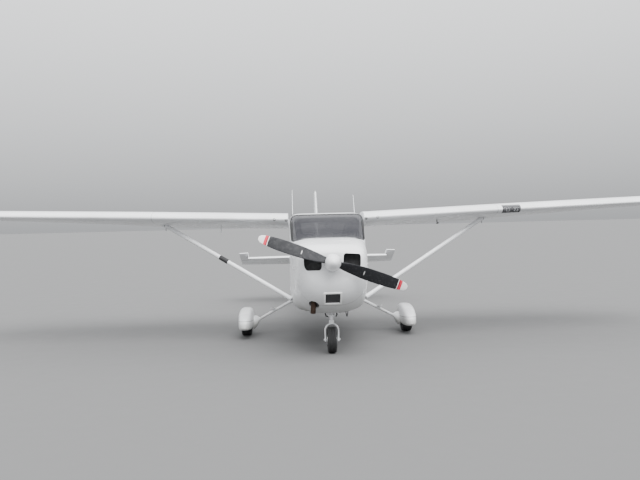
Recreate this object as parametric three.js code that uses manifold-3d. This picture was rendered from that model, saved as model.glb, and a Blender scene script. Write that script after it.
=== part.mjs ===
// Four-seat, strut-braced, high-wing light aircraft on fixed tricycle gear, parked.
// Millimetres. +X is the aircraft's left, -Y its nose, +Z up; the origin is on the ground below its middle.
// Pieces are drawn in the airframe's own axes: y runs aft from the firewall, z up from the propeller's line.
import * as THREE from 'three';
import { mergeVertices } from 'three/addons/utils/BufferGeometryUtils.js';
import Module from 'manifold-3d';

const wasm = await Module();
wasm.setup();

// Attitude on the ground
const PITCH = THREE.MathUtils.degToRad(4);
const DATUM_HEIGHT = 1170;
const MIDDLE_AFT = 3010.6;

// Gaps
const SEAT_GAP = 0.3;
const PANEL_GAP = 7;
const HINGE_GAP = 9;

// Fuselage skin and walls
const COWL_WALL = 12;
const CABIN_WALL = 40;
const AFT_WALL = { from: 2000, thick: 12 };
const TAIL_SKIN = { chordKept: 0.965, heightKept: 0.88, web: 34 };
const FLOOR_Z = -560;
const TAIL_WALL = 8;
const RING_POINTS = 36;
const FAIRING_POINTS = 20;
const TYRE_SIDES = 32;
const FIREWALL_THICK = 5;
const GLASS_THICK = 7;
const GLASS_INSET = 9;

// Engine, propeller and spinner
const PROP_Y = -975;
const PROP_TURN = THREE.MathUtils.degToRad(-20);
const SPINNER_TIP_Y = -1181;
const SPINNER_BACK_Y = -928;
const SPINNER_RADIUS = 110;
const HUB_RADIUS = 58;
const HUB_FRONT = 34;
const PROP_BACK = 54.7;
const BLADE_SLOT = 54;
const SHAFT_RADIUS = 42;
const ENGINE = { front: -745, back: -60, bottom: -385, mountX: 170, mountZ: [-130, 90], mountHalf: 15 };
const ENGINE_BLOCKS = [
  // half width, front y, back y, bottom z, top z
  [355, -745, -640, -150, 120],
  [385, -640, -200, -160, 165],
  [268, -690, -235, -385, 120],
  [200, -260, -60, -150, 120],
];

// Wing
const WING_ROOT_X = 560;
const WING_KINK_X = 2540;
const WING_TIP_X = 5400;
const WING_END_X = 5505;
const ROOT_CHORD = 1626;
const TIP_CHORD = 1160;
const ROOT_LEAD_Y = 655;
const TIP_LEAD_Y = 790;
const LEAD_Z_AT_ROOT = 674;
const DIHEDRAL = THREE.MathUtils.degToRad(2.01);
const ROOT_INCIDENCE = THREE.MathUtils.degToRad(1.1);
const TIP_INCIDENCE = THREE.MathUtils.degToRad(-2.7);
const FLAP = { from: 585, to: 2545, chordAt: 0.72, axisAboveSkin: 18 };
const AILERON = { from: 2565, to: 5180, chordAt: 0.77 };
const AILERON_LUGS = [3000, 4680];
const FLAP_LUGS = [900, 2200];
const LANDING_LIGHT = { from: 2610, to: 2885, depth: 95 };

// Strut
const STRUT_LOW = { x: 500, y: 466, z: -498 };
const STRUT_HIGH = { x: 2500, y: 1138, z: 704 };
const STRUT_CHORD = 115;
const STRUT_THICK = 62;

// Doors and windows; outlines are y, z corners seen from the side
const DOOR_FRONT_Y = 560;
const DOOR_BACK_Y = 1470;
const DOOR_TOP_Z = 578;
const DOOR_BOTTOM_Z = -455;
const DOOR_OUTLINE = [
  [DOOR_FRONT_Y, DOOR_BOTTOM_Z], [DOOR_BACK_Y, DOOR_BOTTOM_Z], [DOOR_BACK_Y, DOOR_TOP_Z],
  [DOOR_FRONT_Y + 95, DOOR_TOP_Z], [DOOR_FRONT_Y, DOOR_TOP_Z - 175],
];
const DOOR_REAR_BEVEL = 34;
const DOOR_HINGE = { x: 540, y: DOOR_FRONT_Y + 5, heights: [-330, 90], notch: 15 };
const DOOR_WINDOW = [[640, 170], [1400, 165], [1400, 512], [715, 512], [640, 425]];
const REAR_WINDOW_SIDE = [[1560, 172], [2150, 252], [2080, 500], [1600, 525], [1560, 500]];
const WINDSCREEN = [[-40, 335], [80, 318], [200, 345], [560, 674], [612, 725], [612, 900], [-40, 900]];
const BACK_WINDOW = [[-395, 1960], [395, 1960], [330, 2660], [-330, 2660]];

// Tail
const STAB = {
  z: 225, rootX: 20, tipX: 1712, rootLead: 5486, tipLead: 5740, rootTrail: 6655, tipTrail: 6580, thick: 0.085,
};
const STAB_LUGS = [0.22, 0.72];
const ELEVATOR_HINGE_Y = 6160;
const ELEVATOR_INNER_X = 105;
const ELEVATOR_DROOP = THREE.MathUtils.degToRad(-16);
const HORN_X = 1535;
const HORN_LEAD_Y = 5905;
const ELEVATOR_TUBE_RADIUS = 18;
const RUDDER_ROOM = [
  [0, 6100], [ELEVATOR_INNER_X, 6100], [ELEVATOR_INNER_X, 6215], [205, 6680], [205, 6800], [0, 6800],
];
const TAB = { from: -300, to: -960, hingeY: 6520 };
const FIN_TABLE = [
  // z, leading edge y, trailing edge y
  [-20, 4983, 6655],
  [300, 5207, 6740],
  [1560, 6090, 7061],
  [1700, 6200, 7098],
  [1767, 6330, 7090],
];
const FIN_THICK = 0.07;
const RUDDER_LOW = { y: 6172, z: -20 };
const RUDDER_HIGH = { y: 6680, z: 1700 };
const RUDDER_HORN = { z: 1590, forward: 210 };
const RUDDER_LUGS = [560, 1330];
const DORSAL = [[3950, 300], [5200, 240], [5700, 700], [5560, 660], [5330, 445], [5000, 400]];

// Main gear
const MAIN_WHEEL = { x: 1250, y: 1478, radius: 205, width: 156, rim: 80 };
const LEG_INNER = { x: 455, y: 1405, worldZ: 575 };
const LEG_OUTER = { x: 1104, y: 1440, worldZ: 228 };
const LEG_THICK = 46;
const LEG_TAPER = 5;
const STEP = { along: 0.58, half: 38, front: 75, back: 10, rise: 46, thick: 6, web: 5 };
const TYRE_ROOM = { half: 92, reach: 228 };
const AXLE_RADIUS = 19;
const FAIRING_WALL = 7;

// Nose gear
const NOSE_WHEEL = { y: -173, radius: 176, width: 122, rim: 64 };
const FORK_INNER = 76;
const FORK_TUBE = 11;
const OLEO_RADIUS = 37;
const PISTON_RADIUS = 24;
const CROWN_HEIGHT = 46;
const PISTON_HEIGHT = 150;
const OLEO_FOOT = 45;
const TORQUE_LINK = {
  reach: 105, half: 20, kneeHalf: 10, thick: 10, pin: 8, collar: 46, collarLow: 6, collarHigh: 30,
};

// Materials: colour, roughness, metalness
const MATERIALS = {};
for (const [name, colour, roughness, metalness] of [
  ['white', 0xf2f3f5, 0.3, 0.1],
  ['glass', 0x7d7d84, 0.08, 0.0],
  ['black', 0x15161a, 0.45, 0.0],
  ['steel', 0x8d9094, 0.35, 0.9],
  ['iron', 0x4a4b4e, 0.7, 0.6],
  ['rust', 0x3a2620, 0.8, 0.4],
  ['rubber', 0x1b1b1c, 0.9, 0.0],
  ['fabric', 0x5b5e66, 0.9, 0.0],
  ['panel', 0x2a2b2f, 0.7, 0.0],
]) {
  MATERIALS[name] = new THREE.MeshStandardMaterial({ color: colour, roughness, metalness });
}

const aircraft = new THREE.Group();
aircraft.rotation.x = -PITCH;
aircraft.position.set(0, -MIDDLE_AFT, DATUM_HEIGHT);

const V = (x, y, z) => new THREE.Vector3(x, y, z);

// Height in airframe axes of a point at station y that stands this far above the ground
function heightOverGround(y, above) {
  return (above - DATUM_HEIGHT + y * Math.sin(PITCH)) / Math.cos(PITCH);
}

function toSolid(geometry) {
  const bare = geometry.clone();
  bare.deleteAttribute('normal');
  bare.deleteAttribute('uv');
  const merged = mergeVertices(bare, 1e-3);
  return new wasm.Manifold(new wasm.Mesh({
    numProp: 3,
    vertProperties: new Float32Array(merged.attributes.position.array),
    triVerts: Uint32Array.from(merged.index.array),
  }));
}

function toGeometry(solid) {
  const mesh = solid.getMesh();
  const geometry = new THREE.BufferGeometry();
  geometry.setAttribute('position', new THREE.BufferAttribute(new Float32Array(mesh.vertProperties), 3));
  geometry.setIndex(new THREE.BufferAttribute(new Uint32Array(mesh.triVerts), 1));
  geometry.computeVertexNormals();
  return geometry;
}

function addPiece(name, solid, material, parent = aircraft) {
  const mesh = new THREE.Mesh(toGeometry(solid), MATERIALS[material].clone());
  mesh.name = name;
  parent.add(mesh);
  return mesh;
}

const join = (...solids) => solids.reduce((a, b) => a.add(b));
const cut = (solid, ...tools) => tools.reduce((a, b) => a.subtract(b), solid);
const mirrored = (solid) => solid.mirror([1, 0, 0]);
const moved = (solid, x, y, z) => solid.translate([x, y, z]);

function signedVolume(points, index) {
  let total = 0;
  for (let i = 0; i < index.length; i += 3) {
    const a = points[index[i]];
    total += a.dot(points[index[i + 1]].clone().cross(points[index[i + 2]])) / 6;
  }
  return total;
}

// A closed body through rings of equal point count; flat end caps
function loft(rings) {
  const count = rings[0].length;
  const points = rings.flat();
  const index = [];
  for (let r = 0; r + 1 < rings.length; r += 1) {
    for (let i = 0; i < count; i += 1) {
      const j = (i + 1) % count;
      const a = r * count + i;
      const b = r * count + j;
      index.push(a, b, b + count, a, b + count, a + count);
    }
  }
  for (const [a, b, c] of capFaces(rings[0])) index.push(a, c, b);
  const last = (rings.length - 1) * count;
  for (const [a, b, c] of capFaces(rings.at(-1))) index.push(last + a, last + b, last + c);
  if (signedVolume(points, index) < 0) {
    for (let i = 0; i < index.length; i += 3) {
      [index[i + 1], index[i + 2]] = [index[i + 2], index[i + 1]];
    }
  }
  const geometry = new THREE.BufferGeometry().setFromPoints(points);
  geometry.setIndex(index);
  return toSolid(geometry);
}

// Triangles over a flat ring, wound as the ring runs
function capFaces(ring) {
  const normal = V(0, 0, 0);
  ring.forEach((p, i) => normal.add(p.clone().cross(ring[(i + 1) % ring.length])));
  normal.normalize();
  const across = Math.abs(normal.x) > 0.7 ? V(0, 1, 0) : V(1, 0, 0);
  const side = normal.clone().cross(across).normalize();
  const up = normal.clone().cross(side);
  const flat = ring.map((p) => new THREE.Vector2(p.dot(side), p.dot(up)));
  return THREE.ShapeUtils.triangulateShape(flat, []);
}

// A flat outline pushed along an axis: corners are the two other coordinates in X, Y, Z order
function prism(corners, axis, from, to) {
  const place = {
    x: (u, v, w) => V(w, u, v),
    y: (u, v, w) => V(u, w, v),
    z: (u, v, w) => V(u, v, w),
  }[axis];
  return loft([from, to].map((w) => corners.map(([u, v]) => place(u, v, w))));
}

function box(x0, x1, y0, y1, z0, z1) {
  return prism([[x0, y0], [x1, y0], [x1, y1], [x0, y1]], 'z', z0, z1);
}

// A round bar between two points, which may taper
function bar(from, to, radius, radiusTo = radius, sides = 20) {
  const along = to.clone().sub(from).normalize();
  const across = Math.abs(along.z) > 0.9 ? V(1, 0, 0) : V(0, 0, 1);
  const side = across.cross(along).normalize();
  const up = along.clone().cross(side);
  const ring = (centre, r) => Array.from({ length: sides }, (_, i) => {
    const t = (2 * Math.PI * i) / sides;
    return centre.clone().addScaledVector(side, r * Math.cos(t)).addScaledVector(up, r * Math.sin(t));
  });
  return loft([ring(from, radius), ring(to, radiusTo)]);
}

// A body of revolution about the X axis or the Y axis through a centre; profile is [along, radius] pairs
function turned(profile, axis, centre, sides = 36) {
  const lathe = new THREE.LatheGeometry(profile.map(([along, r]) => new THREE.Vector2(r, along)), sides);
  if (axis === 'x') lathe.rotateZ(-Math.PI / 2);
  lathe.translate(centre.x, centre.y, centre.z);
  return toSolid(lathe);
}

// Fuselage: station y, half width, widest level, top, bottom, squareness above, squareness below
const SECTION = ([y, half, belt, top, bottom, above, below]) => (
  { y, half, belt, top, bottom, above, below }
);
const COWL_TABLE = [
  [-880, 262, 8, 122, -150, 2.2, 2.2],
  [-862, 345, 4, 165, -262, 2.5, 2.3],
  [-800, 402, -8, 198, -385, 3.0, 2.5],
  [-690, 440, -18, 232, -492, 3.6, 2.7],
  [-500, 470, -26, 270, -592, 4.4, 2.9],
  [-250, 490, -30, 315, -655, 5.0, 3.1],
  [-SEAT_GAP, 502, -30, 354, -657, 5.5, 3.2],
].map(SECTION);
const CABIN_TABLE = [
  [0, 502, -30, 354, -657, 5.5, 3.2],
  [250, 526, -30, 525, -660, 7.0, 4.6],
  [610, 545, -30, 730, -660, 13, 5.5],
  [760, 547, -30, 752, -660, 12, 5.5],
  [1200, 547, -30, 790, -660, 11, 5.4],
  [1780, 545, -30, 775, -648, 9, 5.2],
  [2050, 525, -22, 733, -605, 6, 4.5],
  [2413, 487, -5, 592, -525, 4.2, 3.6],
  [2800, 437, 18, 425, -435, 3.3, 2.9],
].map(SECTION);
const TAIL_TABLE = [
  [2800 + SEAT_GAP, 437, 18, 425, -435, 3.3, 2.9],
  [4200, 285, 92, 372, -232, 2.6, 2.4],
  [5500, 148, 150, 318, -48, 2.3, 2.2],
  [6120, 78, 170, 290, 42, 2.2, 2.2],
].map(SECTION);

// One ring of the fuselage, drawn in all round by an inset
function fuselageRing(section, inset = 0, count = RING_POINTS) {
  const half = section.half - inset;
  return Array.from({ length: count }, (_, i) => {
    const t = (2 * Math.PI * i) / count;
    const c = Math.cos(t);
    const s = Math.sin(t);
    const square = s >= 0 ? section.above : section.below;
    const height = s >= 0 ? section.top - inset - section.belt : section.belt - section.bottom - inset;
    const x = half * Math.sign(c) * Math.abs(c) ** (2 / square);
    const z = section.belt + height * Math.sign(s) * Math.abs(s) ** (2 / square);
    return V(x, section.y, z);
  });
}

const fuselage = (table, inset = 0) => loft(table.map((s) => fuselageRing(s, inset)));

// The same table with its first or last station moved past the end, so that a hollow opens there
function extended(table, ahead, behind) {
  const first = { ...table[0], y: table[0].y - ahead };
  const last = { ...table.at(-1), y: table.at(-1).y + behind };
  return [...(ahead ? [first] : []), ...table, ...(behind ? [last] : [])];
}

// Wing and tail sections
const CHORD_STEPS = [1, 0.86, 0.72, 0.56, 0.4, 0.26, 0.14, 0.06, 0.015, 0];

function halfThickness(u, ratio) {
  const poly = 0.2969 * Math.sqrt(u) - 0.126 * u - 0.3516 * u ** 2 + 0.2843 * u ** 3 - 0.1036 * u ** 4;
  return 5 * ratio * poly + 0.0018 * u;
}

function camberAt(u, camber) {
  const crest = 0.4;
  if (u < crest) return (camber / crest ** 2) * (2 * crest * u - u * u);
  return (camber / (1 - crest) ** 2) * (1 - 2 * crest + 2 * crest * u - u * u);
}

// Outline of an aerofoil of unit chord: trailing edge, over the top to the nose, and back below
function aerofoil(ratio, camber = 0) {
  const skin = (side) => (u) => [u, camberAt(u, camber) + side * halfThickness(u, ratio)];
  return [...CHORD_STEPS.map(skin(1)), ...CHORD_STEPS.slice(0, -1).reverse().map(skin(-1))];
}

// The same outline drawn in by the skin of a hollow surface
function thinned(ratio) {
  const { chordKept, heightKept } = TAIL_SKIN;
  return aerofoil(ratio).map(([u, v]) => [0.45 + (u - 0.45) * chordKept, v * heightKept]);
}

const WING_RATIO = 0.12;
const WING_CAMBER = 0.02;

// Leading edge, chord and incidence of the left wing at a span station
function wingAt(x) {
  const out = Math.max(0, (x - WING_KINK_X) / (WING_TIP_X - WING_KINK_X));
  return {
    lead: THREE.MathUtils.lerp(ROOT_LEAD_Y, TIP_LEAD_Y, out),
    chord: THREE.MathUtils.lerp(ROOT_CHORD, TIP_CHORD, out),
    z: LEAD_Z_AT_ROOT + (x - WING_ROOT_X) * Math.tan(DIHEDRAL),
    incidence: THREE.MathUtils.lerp(ROOT_INCIDENCE, TIP_INCIDENCE, out),
  };
}

// A point of the left wing at span x, chord fraction u and height v, both in chords
function wingPoint(x, u, v) {
  const { lead, chord, z, incidence } = wingAt(x);
  const c = Math.cos(incidence);
  const s = Math.sin(incidence);
  return V(x, lead + chord * (u * c + v * s), z - chord * u * s + chord * v * c);
}

const wingRing = (x, shrink = 1, flat = 1) => aerofoil(WING_RATIO, WING_CAMBER).map(([u, v]) => (
  wingPoint(x, 0.45 + (u - 0.45) * shrink, v * flat)
));

// The space that a hinged surface takes: a round nose about the axis and all that lies aft of it.
// A plain nose is upright above the axis, for a surface that only turns down.
function hingeSpace({ from, to, aft, noseFrom, noseTo, plain = false, grow = 0, endGrow = grow }) {
  const along = to.clone().sub(from).normalize();
  const up = along.clone().cross(aft).normalize();
  if (up.z + up.x < 0) up.negate();
  const reach = 700;
  const tall = 160;
  const arc = 8;
  const ring = (centre, r) => {
    const pts = [[reach, -tall], [reach, tall]];
    if (plain) pts.push([-r, tall]);
    else pts.push([0, tall]);
    for (let i = 0; i <= arc; i += 1) {
      const t = plain ? Math.PI + (i / arc) * (Math.PI / 2) : Math.PI / 2 + (i / arc) * Math.PI;
      pts.push([r * Math.cos(t), r * Math.sin(t)]);
    }
    pts.push([0, -tall]);
    return pts.map(([a, b]) => centre.clone().addScaledVector(aft, a).addScaledVector(up, b));
  };
  const start = from.clone().addScaledVector(along, -endGrow);
  const end = to.clone().addScaledVector(along, endGrow);
  return loft([ring(start, noseFrom + grow), ring(end, noseTo + grow)]);
}

const LUG = { thick: 8, radius: 11, pin: 5, slot: 20 };

// A hinge lug of the fixed piece, the notch it needs in the moving one, and the moving one's pin
function hingeLug(at, along, ahead, reach, notch) {
  const half = along.clone().multiplyScalar(LUG.thick / 2);
  const side = along.clone().multiplyScalar(LUG.slot / 2);
  const end = at.clone().addScaledVector(ahead, reach);
  const up = along.clone().cross(ahead).normalize().multiplyScalar(LUG.radius);
  const corners = (shift) => [
    at.clone().add(up), end.clone().add(up), end.clone().sub(up), at.clone().sub(up),
  ].map((p) => p.add(shift));
  const eye = bar(at.clone().sub(half), at.clone().add(half), LUG.radius, LUG.radius, 16);
  const arm = loft([corners(half.clone().negate()), corners(half)]);
  const hole = bar(at.clone().sub(side), at.clone().add(side), LUG.pin + 0.5, LUG.pin + 0.5, 12);
  const pinSide = side.clone().multiplyScalar(1.6);
  return {
    lug: cut(join(eye, arm), hole),
    notch: bar(at.clone().sub(side), at.clone().add(side), notch, notch, 20),
    pin: bar(at.clone().sub(pinSide), at.clone().add(pinSide), LUG.pin, LUG.pin, 12),
  };
}

// Splits a wing or tail surface into its fixed part and the part that turns about a hinge line
function splitAtHinge(whole, space, lugs) {
  let fixed = cut(whole, hingeSpace({ ...space, grow: HINGE_GAP, endGrow: PANEL_GAP }));
  let moving = whole.intersect(hingeSpace({ ...space, grow: 0 }));
  for (const lug of lugs) {
    fixed = join(fixed, lug.lug);
    moving = join(cut(moving, lug.notch), lug.pin);
  }
  return { fixed, moving };
}

// Hinge lugs at parameter values along a hinge line whose nose radius varies
function lugsOn({ from, to, aft, noseFrom, noseTo }, fractions, deeper = 0) {
  const along = to.clone().sub(from).normalize();
  return fractions.map((f) => {
    const nose = THREE.MathUtils.lerp(noseFrom, noseTo, f) + deeper;
    return hingeLug(from.clone().lerp(to, f), along, aft.clone().negate(), nose + HINGE_GAP + 20, nose + 3);
  });
}

function makeWing() {
  const stations = [
    // span x, chord kept, thickness kept
    [WING_ROOT_X, 1, 1],
    [WING_KINK_X, 1, 1],
    [WING_TIP_X, 1, 1],
    [WING_TIP_X + 60, 0.97, 0.78],
    [WING_TIP_X + 92, 0.92, 0.5],
    [WING_END_X, 0.86, 0.2],
  ];
  const whole = loft(stations.map(([x, shrink, flat]) => wingRing(x, shrink, flat)));
  const aft = V(0, 1, 0);

  const aileronMid = (x) => wingPoint(x, AILERON.chordAt, camberAt(AILERON.chordAt, WING_CAMBER));
  const noseAt = (x) => wingAt(x).chord * halfThickness(AILERON.chordAt, WING_RATIO);
  const aileronSpace = {
    from: aileronMid(AILERON.from),
    to: aileronMid(AILERON.to),
    aft,
    noseFrom: noseAt(AILERON.from),
    noseTo: noseAt(AILERON.to),
  };
  const span = AILERON.to - AILERON.from;
  const aileronLugs = lugsOn(aileronSpace, AILERON_LUGS.map((x) => (x - AILERON.from) / span));
  const first = splitAtHinge(whole, aileronSpace, aileronLugs);

  const skinLow = camberAt(FLAP.chordAt, WING_CAMBER) - halfThickness(FLAP.chordAt, WING_RATIO);
  const flapAxis = (x) => wingPoint(x, FLAP.chordAt, skinLow).add(V(0, 0, FLAP.axisAboveSkin));
  const flapSpace = {
    from: flapAxis(FLAP.from),
    to: flapAxis(FLAP.to),
    aft,
    noseFrom: FLAP.axisAboveSkin,
    noseTo: FLAP.axisAboveSkin,
    plain: true,
  };
  const flapSpan = FLAP.to - FLAP.from;
  const flapLugs = lugsOn(flapSpace, FLAP_LUGS.map((x) => (x - FLAP.from) / flapSpan), 60);
  const second = splitAtHinge(first.fixed, flapSpace, flapLugs);

  return { whole, fixed: second.fixed, aileron: first.moving, flap: second.moving };
}

// The stretch of the leading edge that the landing light's clear cover takes
function lightBay(inset) {
  const reach = wingAt(LANDING_LIGHT.from).lead + LANDING_LIGHT.depth;
  return box(LANDING_LIGHT.from + inset, LANDING_LIGHT.to - inset, 0, reach - inset, 500, 1100);
}

const wing = makeWing();
const sides = [['left', (s) => s], ['right', mirrored]];

// Fuselage bodies
const cabinSolid = fuselage(CABIN_TABLE);
const cabinClear = fuselage(extended(CABIN_TABLE, 600, 0), -SEAT_GAP);
const tailClear = fuselage(extended(TAIL_TABLE, 0, 1), -SEAT_GAP);
const rootStub = loft([wingRing(430), wingRing(WING_ROOT_X - SEAT_GAP)]);

const cowlingSkin = cut(fuselage(COWL_TABLE), fuselage(extended(COWL_TABLE.slice(1), 0, 5), COWL_WALL));
const INLET = [[130, -42], [150, -90], [322, -90], [350, -42], [354, 82], [340, 104], [142, 118]];
const LEG_HOLE = { half: 95, front: -330, back: -70 };
const PIPE_HOLE = { at: V(-234, -585, -517), out: V(0, -0.498, -0.867), half: 65, long: 90, deep: 90 };

function makeCowling() {
  const shaftHole = bar(V(0, -950, 0), V(0, -700, 0), SHAFT_RADIUS + 12);
  const inlet = prism(INLET, 'y', -960, -640);
  const legHole = box(-LEG_HOLE.half, LEG_HOLE.half, LEG_HOLE.front, LEG_HOLE.back, -900, -560);
  return cut(cowlingSkin, shaftHole, inlet, mirrored(inlet), legHole, makePipeHole(), grilleSpace(0));
}

// The oval opening in the cowling's lower front through which the exhaust pipe leaves
function makePipeHole() {
  const { at, out, half, long, deep } = PIPE_HOLE;
  const fore = V(0, out.z, -out.y);
  const ring = (shift) => Array.from({ length: RING_POINTS }, (_, i) => {
    const t = (2 * Math.PI * i) / RING_POINTS;
    const across = V(half * Math.cos(t), 0, 0);
    return at.clone().add(across).addScaledVector(fore, long * Math.sin(t)).addScaledVector(out, shift);
  });
  return loft([ring(-deep), ring(deep)]);
}

const GRILLE = { half: 106, low: -514, high: -374, slats: 6, frame: 13 };

function grilleSpace(inset) {
  const { half, low, high } = GRILLE;
  return box(-half + inset, half - inset, -860, -520, low + inset, high - inset);
}

function makeGrille() {
  const { half, low, high, frame, slats } = GRILLE;
  let grille = cowlingSkin.intersect(grilleSpace(SEAT_GAP));
  const pitch = (high - low - 2 * frame) / slats;
  for (let i = 0; i < slats; i += 1) {
    const base = low + frame + i * pitch + pitch * 0.25;
    grille = cut(grille, box(-half + frame, half - frame, -900, -500, base, base + pitch * 0.5));
  }
  return grille;
}

function makeEngine() {
  const { front, back, mountX, mountZ, mountHalf: m } = ENGINE;
  const blocks = ENGINE_BLOCKS.map(([half, y0, y1, z0, z1]) => box(-half, half, y0, y1, z0, z1));
  const shaft = bar(V(0, PROP_Y + PROP_BACK + SEAT_GAP, 0), V(0, front + 10, 0), SHAFT_RADIUS);
  const mounts = [];
  for (const x of [-mountX, mountX]) {
    for (const z of mountZ) mounts.push(box(x - m, x + m, back - 5, -SEAT_GAP, z - m, z + m));
  }
  return join(...blocks, shaft, ...mounts);
}

// Propeller: two twisted blades on a hub; one blade lies along +X before the disc is turned
const BLADE_TABLE = [
  // radius, chord, thickness, angle in degrees
  [30, 62, 52, 60],
  [110, 92, 44, 52],
  [230, 140, 27, 38],
  [420, 166, 19, 27],
  [650, 160, 13, 20],
  [840, 128, 10, 16],
  [925, 88, 7, 15],
  [952, 40, 4, 15],
];

function bladeRing([radius, chord, thick, degrees]) {
  const angle = THREE.MathUtils.degToRad(degrees);
  return Array.from({ length: 12 }, (_, i) => {
    const t = (2 * Math.PI * i) / 12;
    const a = (chord / 2) * Math.cos(t);
    const b = (thick / 2) * Math.sin(t);
    return V(radius, b * Math.cos(angle) - a * Math.sin(angle), a * Math.cos(angle) + b * Math.sin(angle));
  });
}

const discTurn = THREE.MathUtils.radToDeg(PROP_TURN);
const atDisc = (solid) => moved(solid.rotate([0, -discTurn, 0]), 0, PROP_Y, 0);

function makePropeller() {
  const blade = loft(BLADE_TABLE.map(bladeRing));
  const profile = [[-HUB_FRONT, 0], [-HUB_FRONT, HUB_RADIUS], [PROP_BACK, HUB_RADIUS], [PROP_BACK, 0]];
  const hub = turned(profile, 'y', V(0, 0, 0), 24);
  return atDisc(join(hub, blade, blade.rotate([0, 180, 0])));
}

function makeSpinner() {
  const length = SPINNER_BACK_Y - SPINNER_TIP_Y;
  const profile = [[-length, 0]];
  for (let i = 1; i <= 7; i += 1) {
    const s = i / 8;
    profile.push([-length * (1 - s), SPINNER_RADIUS * Math.sqrt(1 - (1 - s) ** 1.75)]);
  }
  profile.push([0, SPINNER_RADIUS], [0, 0]);
  const cone = turned(profile, 'y', V(0, SPINNER_BACK_Y, 0), 28);
  const hubEnd = V(0, PROP_Y - HUB_FRONT - SEAT_GAP, 0);
  const hubRoom = bar(hubEnd, V(0, SPINNER_BACK_Y + 5, 0), HUB_RADIUS + 1, undefined, 24);
  const slot = box(0, 200, -60, SPINNER_BACK_Y - PROP_Y + 5, -BLADE_SLOT, BLADE_SLOT);
  return cut(cone, hubRoom, atDisc(join(slot, slot.rotate([0, 180, 0]))));
}

// Cabin
function doorRegion(grow) {
  const midY = (DOOR_FRONT_Y + DOOR_BACK_Y) / 2;
  const spread = drawnIn(DOOR_OUTLINE, -grow);
  const ring = (x, bevel) => spread.map(([y, z]) => V(x, y > midY ? y - bevel : y, z));
  return loft([ring(430, DOOR_REAR_BEVEL), ring(640, 0)]);
}

// An outline drawn in towards its middle
function drawnIn(outline, inset) {
  const middle = (values) => (Math.min(...values) + Math.max(...values)) / 2;
  const midU = middle(outline.map(([u]) => u));
  const midV = middle(outline.map(([, v]) => v));
  return outline.map(([u, v]) => [u - inset * Math.sign(u - midU), v - inset * Math.sign(v - midV)]);
}

const paneSpace = (outline, inset = 0) => prism(drawnIn(outline, inset), 'x', 300, 700);

const glassSkin = cut(
  fuselage(CABIN_TABLE, GLASS_INSET),
  fuselage(extended(CABIN_TABLE, 5, 5), GLASS_INSET + GLASS_THICK),
);
const wholeWidth = (outline) => prism(outline, 'x', -700, 700);
const backWindowSpace = (inset) => prism(drawnIn(BACK_WINDOW, inset), 'z', 200, 1000);

const cabinRoom = loft(extended(CABIN_TABLE, 10, 10).map((section) => (
  fuselageRing(section, section.y > AFT_WALL.from ? AFT_WALL.thick : CABIN_WALL)
))).intersect(box(-700, 700, -100, 3000, FLOOR_Z, 1000));
const cabinWall = cut(join(cabinSolid, rootStub, mirrored(rootStub)), cabinRoom);

function makeCabin() {
  const door = doorRegion(PANEL_GAP);
  const pane = paneSpace(REAR_WINDOW_SIDE);
  const front = box(-700, 700, -10, FIREWALL_THICK + SEAT_GAP, -900, 360);
  const openings = [door, mirrored(door), pane, mirrored(pane), wholeWidth(WINDSCREEN), backWindowSpace(0)];
  const shell = cut(cabinWall, ...openings, front);
  const lugs = doorHinges().map(({ lug }) => lug);
  return join(shell, ...lugs, ...lugs.map(mirrored));
}

function doorHinges() {
  return DOOR_HINGE.heights.map((z) => (
    hingeLug(V(DOOR_HINGE.x, DOOR_HINGE.y, z), V(0, 0, 1), V(0, -1, 0), 34, DOOR_HINGE.notch)
  ));
}

function makeDoor() {
  const leaf = cut(cabinWall.intersect(doorRegion(0)), paneSpace(DOOR_WINDOW));
  return doorHinges().reduce((door, { notch, pin }) => join(cut(door, notch), pin), leaf);
}

const makeFirewall = () => loft([0, FIREWALL_THICK].map((y) => fuselageRing({ ...CABIN_TABLE[0], y }, 3)));

addPiece('cowling', makeCowling(), 'white');
addPiece('grille', makeGrille(), 'steel');
addPiece('engine_block', makeEngine(), 'iron');
addPiece('firewall', makeFirewall(), 'steel');
addPiece('propeller', makePropeller(), 'black');
addPiece('spinner', makeSpinner(), 'white');
addPiece('cabin_shell', makeCabin(), 'white');
addPiece('windscreen', glassSkin.intersect(wholeWidth(insetWindscreen())), 'glass');
addPiece('back_window', glassSkin.intersect(backWindowSpace(SEAT_GAP)), 'glass');
for (const [side, turn] of sides) {
  addPiece(`door_${side}`, turn(makeDoor()), 'white');
  addPiece(`door_window_${side}`, turn(glassSkin.intersect(paneSpace(DOOR_WINDOW, SEAT_GAP))), 'glass');
  addPiece(`side_window_${side}`, turn(glassSkin.intersect(paneSpace(REAR_WINDOW_SIDE, SEAT_GAP))), 'glass');
}

function insetWindscreen() {
  const front = FIREWALL_THICK + SEAT_GAP;
  return WINDSCREEN.map(([y, z]) => [Math.max(front, y - 2 * SEAT_GAP), z + (z < 400 ? 2 * SEAT_GAP : 0)]);
}

// Wings, struts and lamp
for (const [side, turn] of sides) {
  const bay = side === 'left' ? cut(wing.fixed, lightBay(0)) : wing.fixed;
  addPiece(`wing_${side}`, turn(bay), 'white');
  addPiece(`aileron_${side}`, turn(wing.aileron), 'white');
  addPiece(`flap_${side}`, turn(wing.flap), 'white');
  addPiece(`strut_${side}`, turn(makeStrut()), 'white');
}
addPiece('landing_light', wing.whole.intersect(lightBay(SEAT_GAP)), 'glass');

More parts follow.
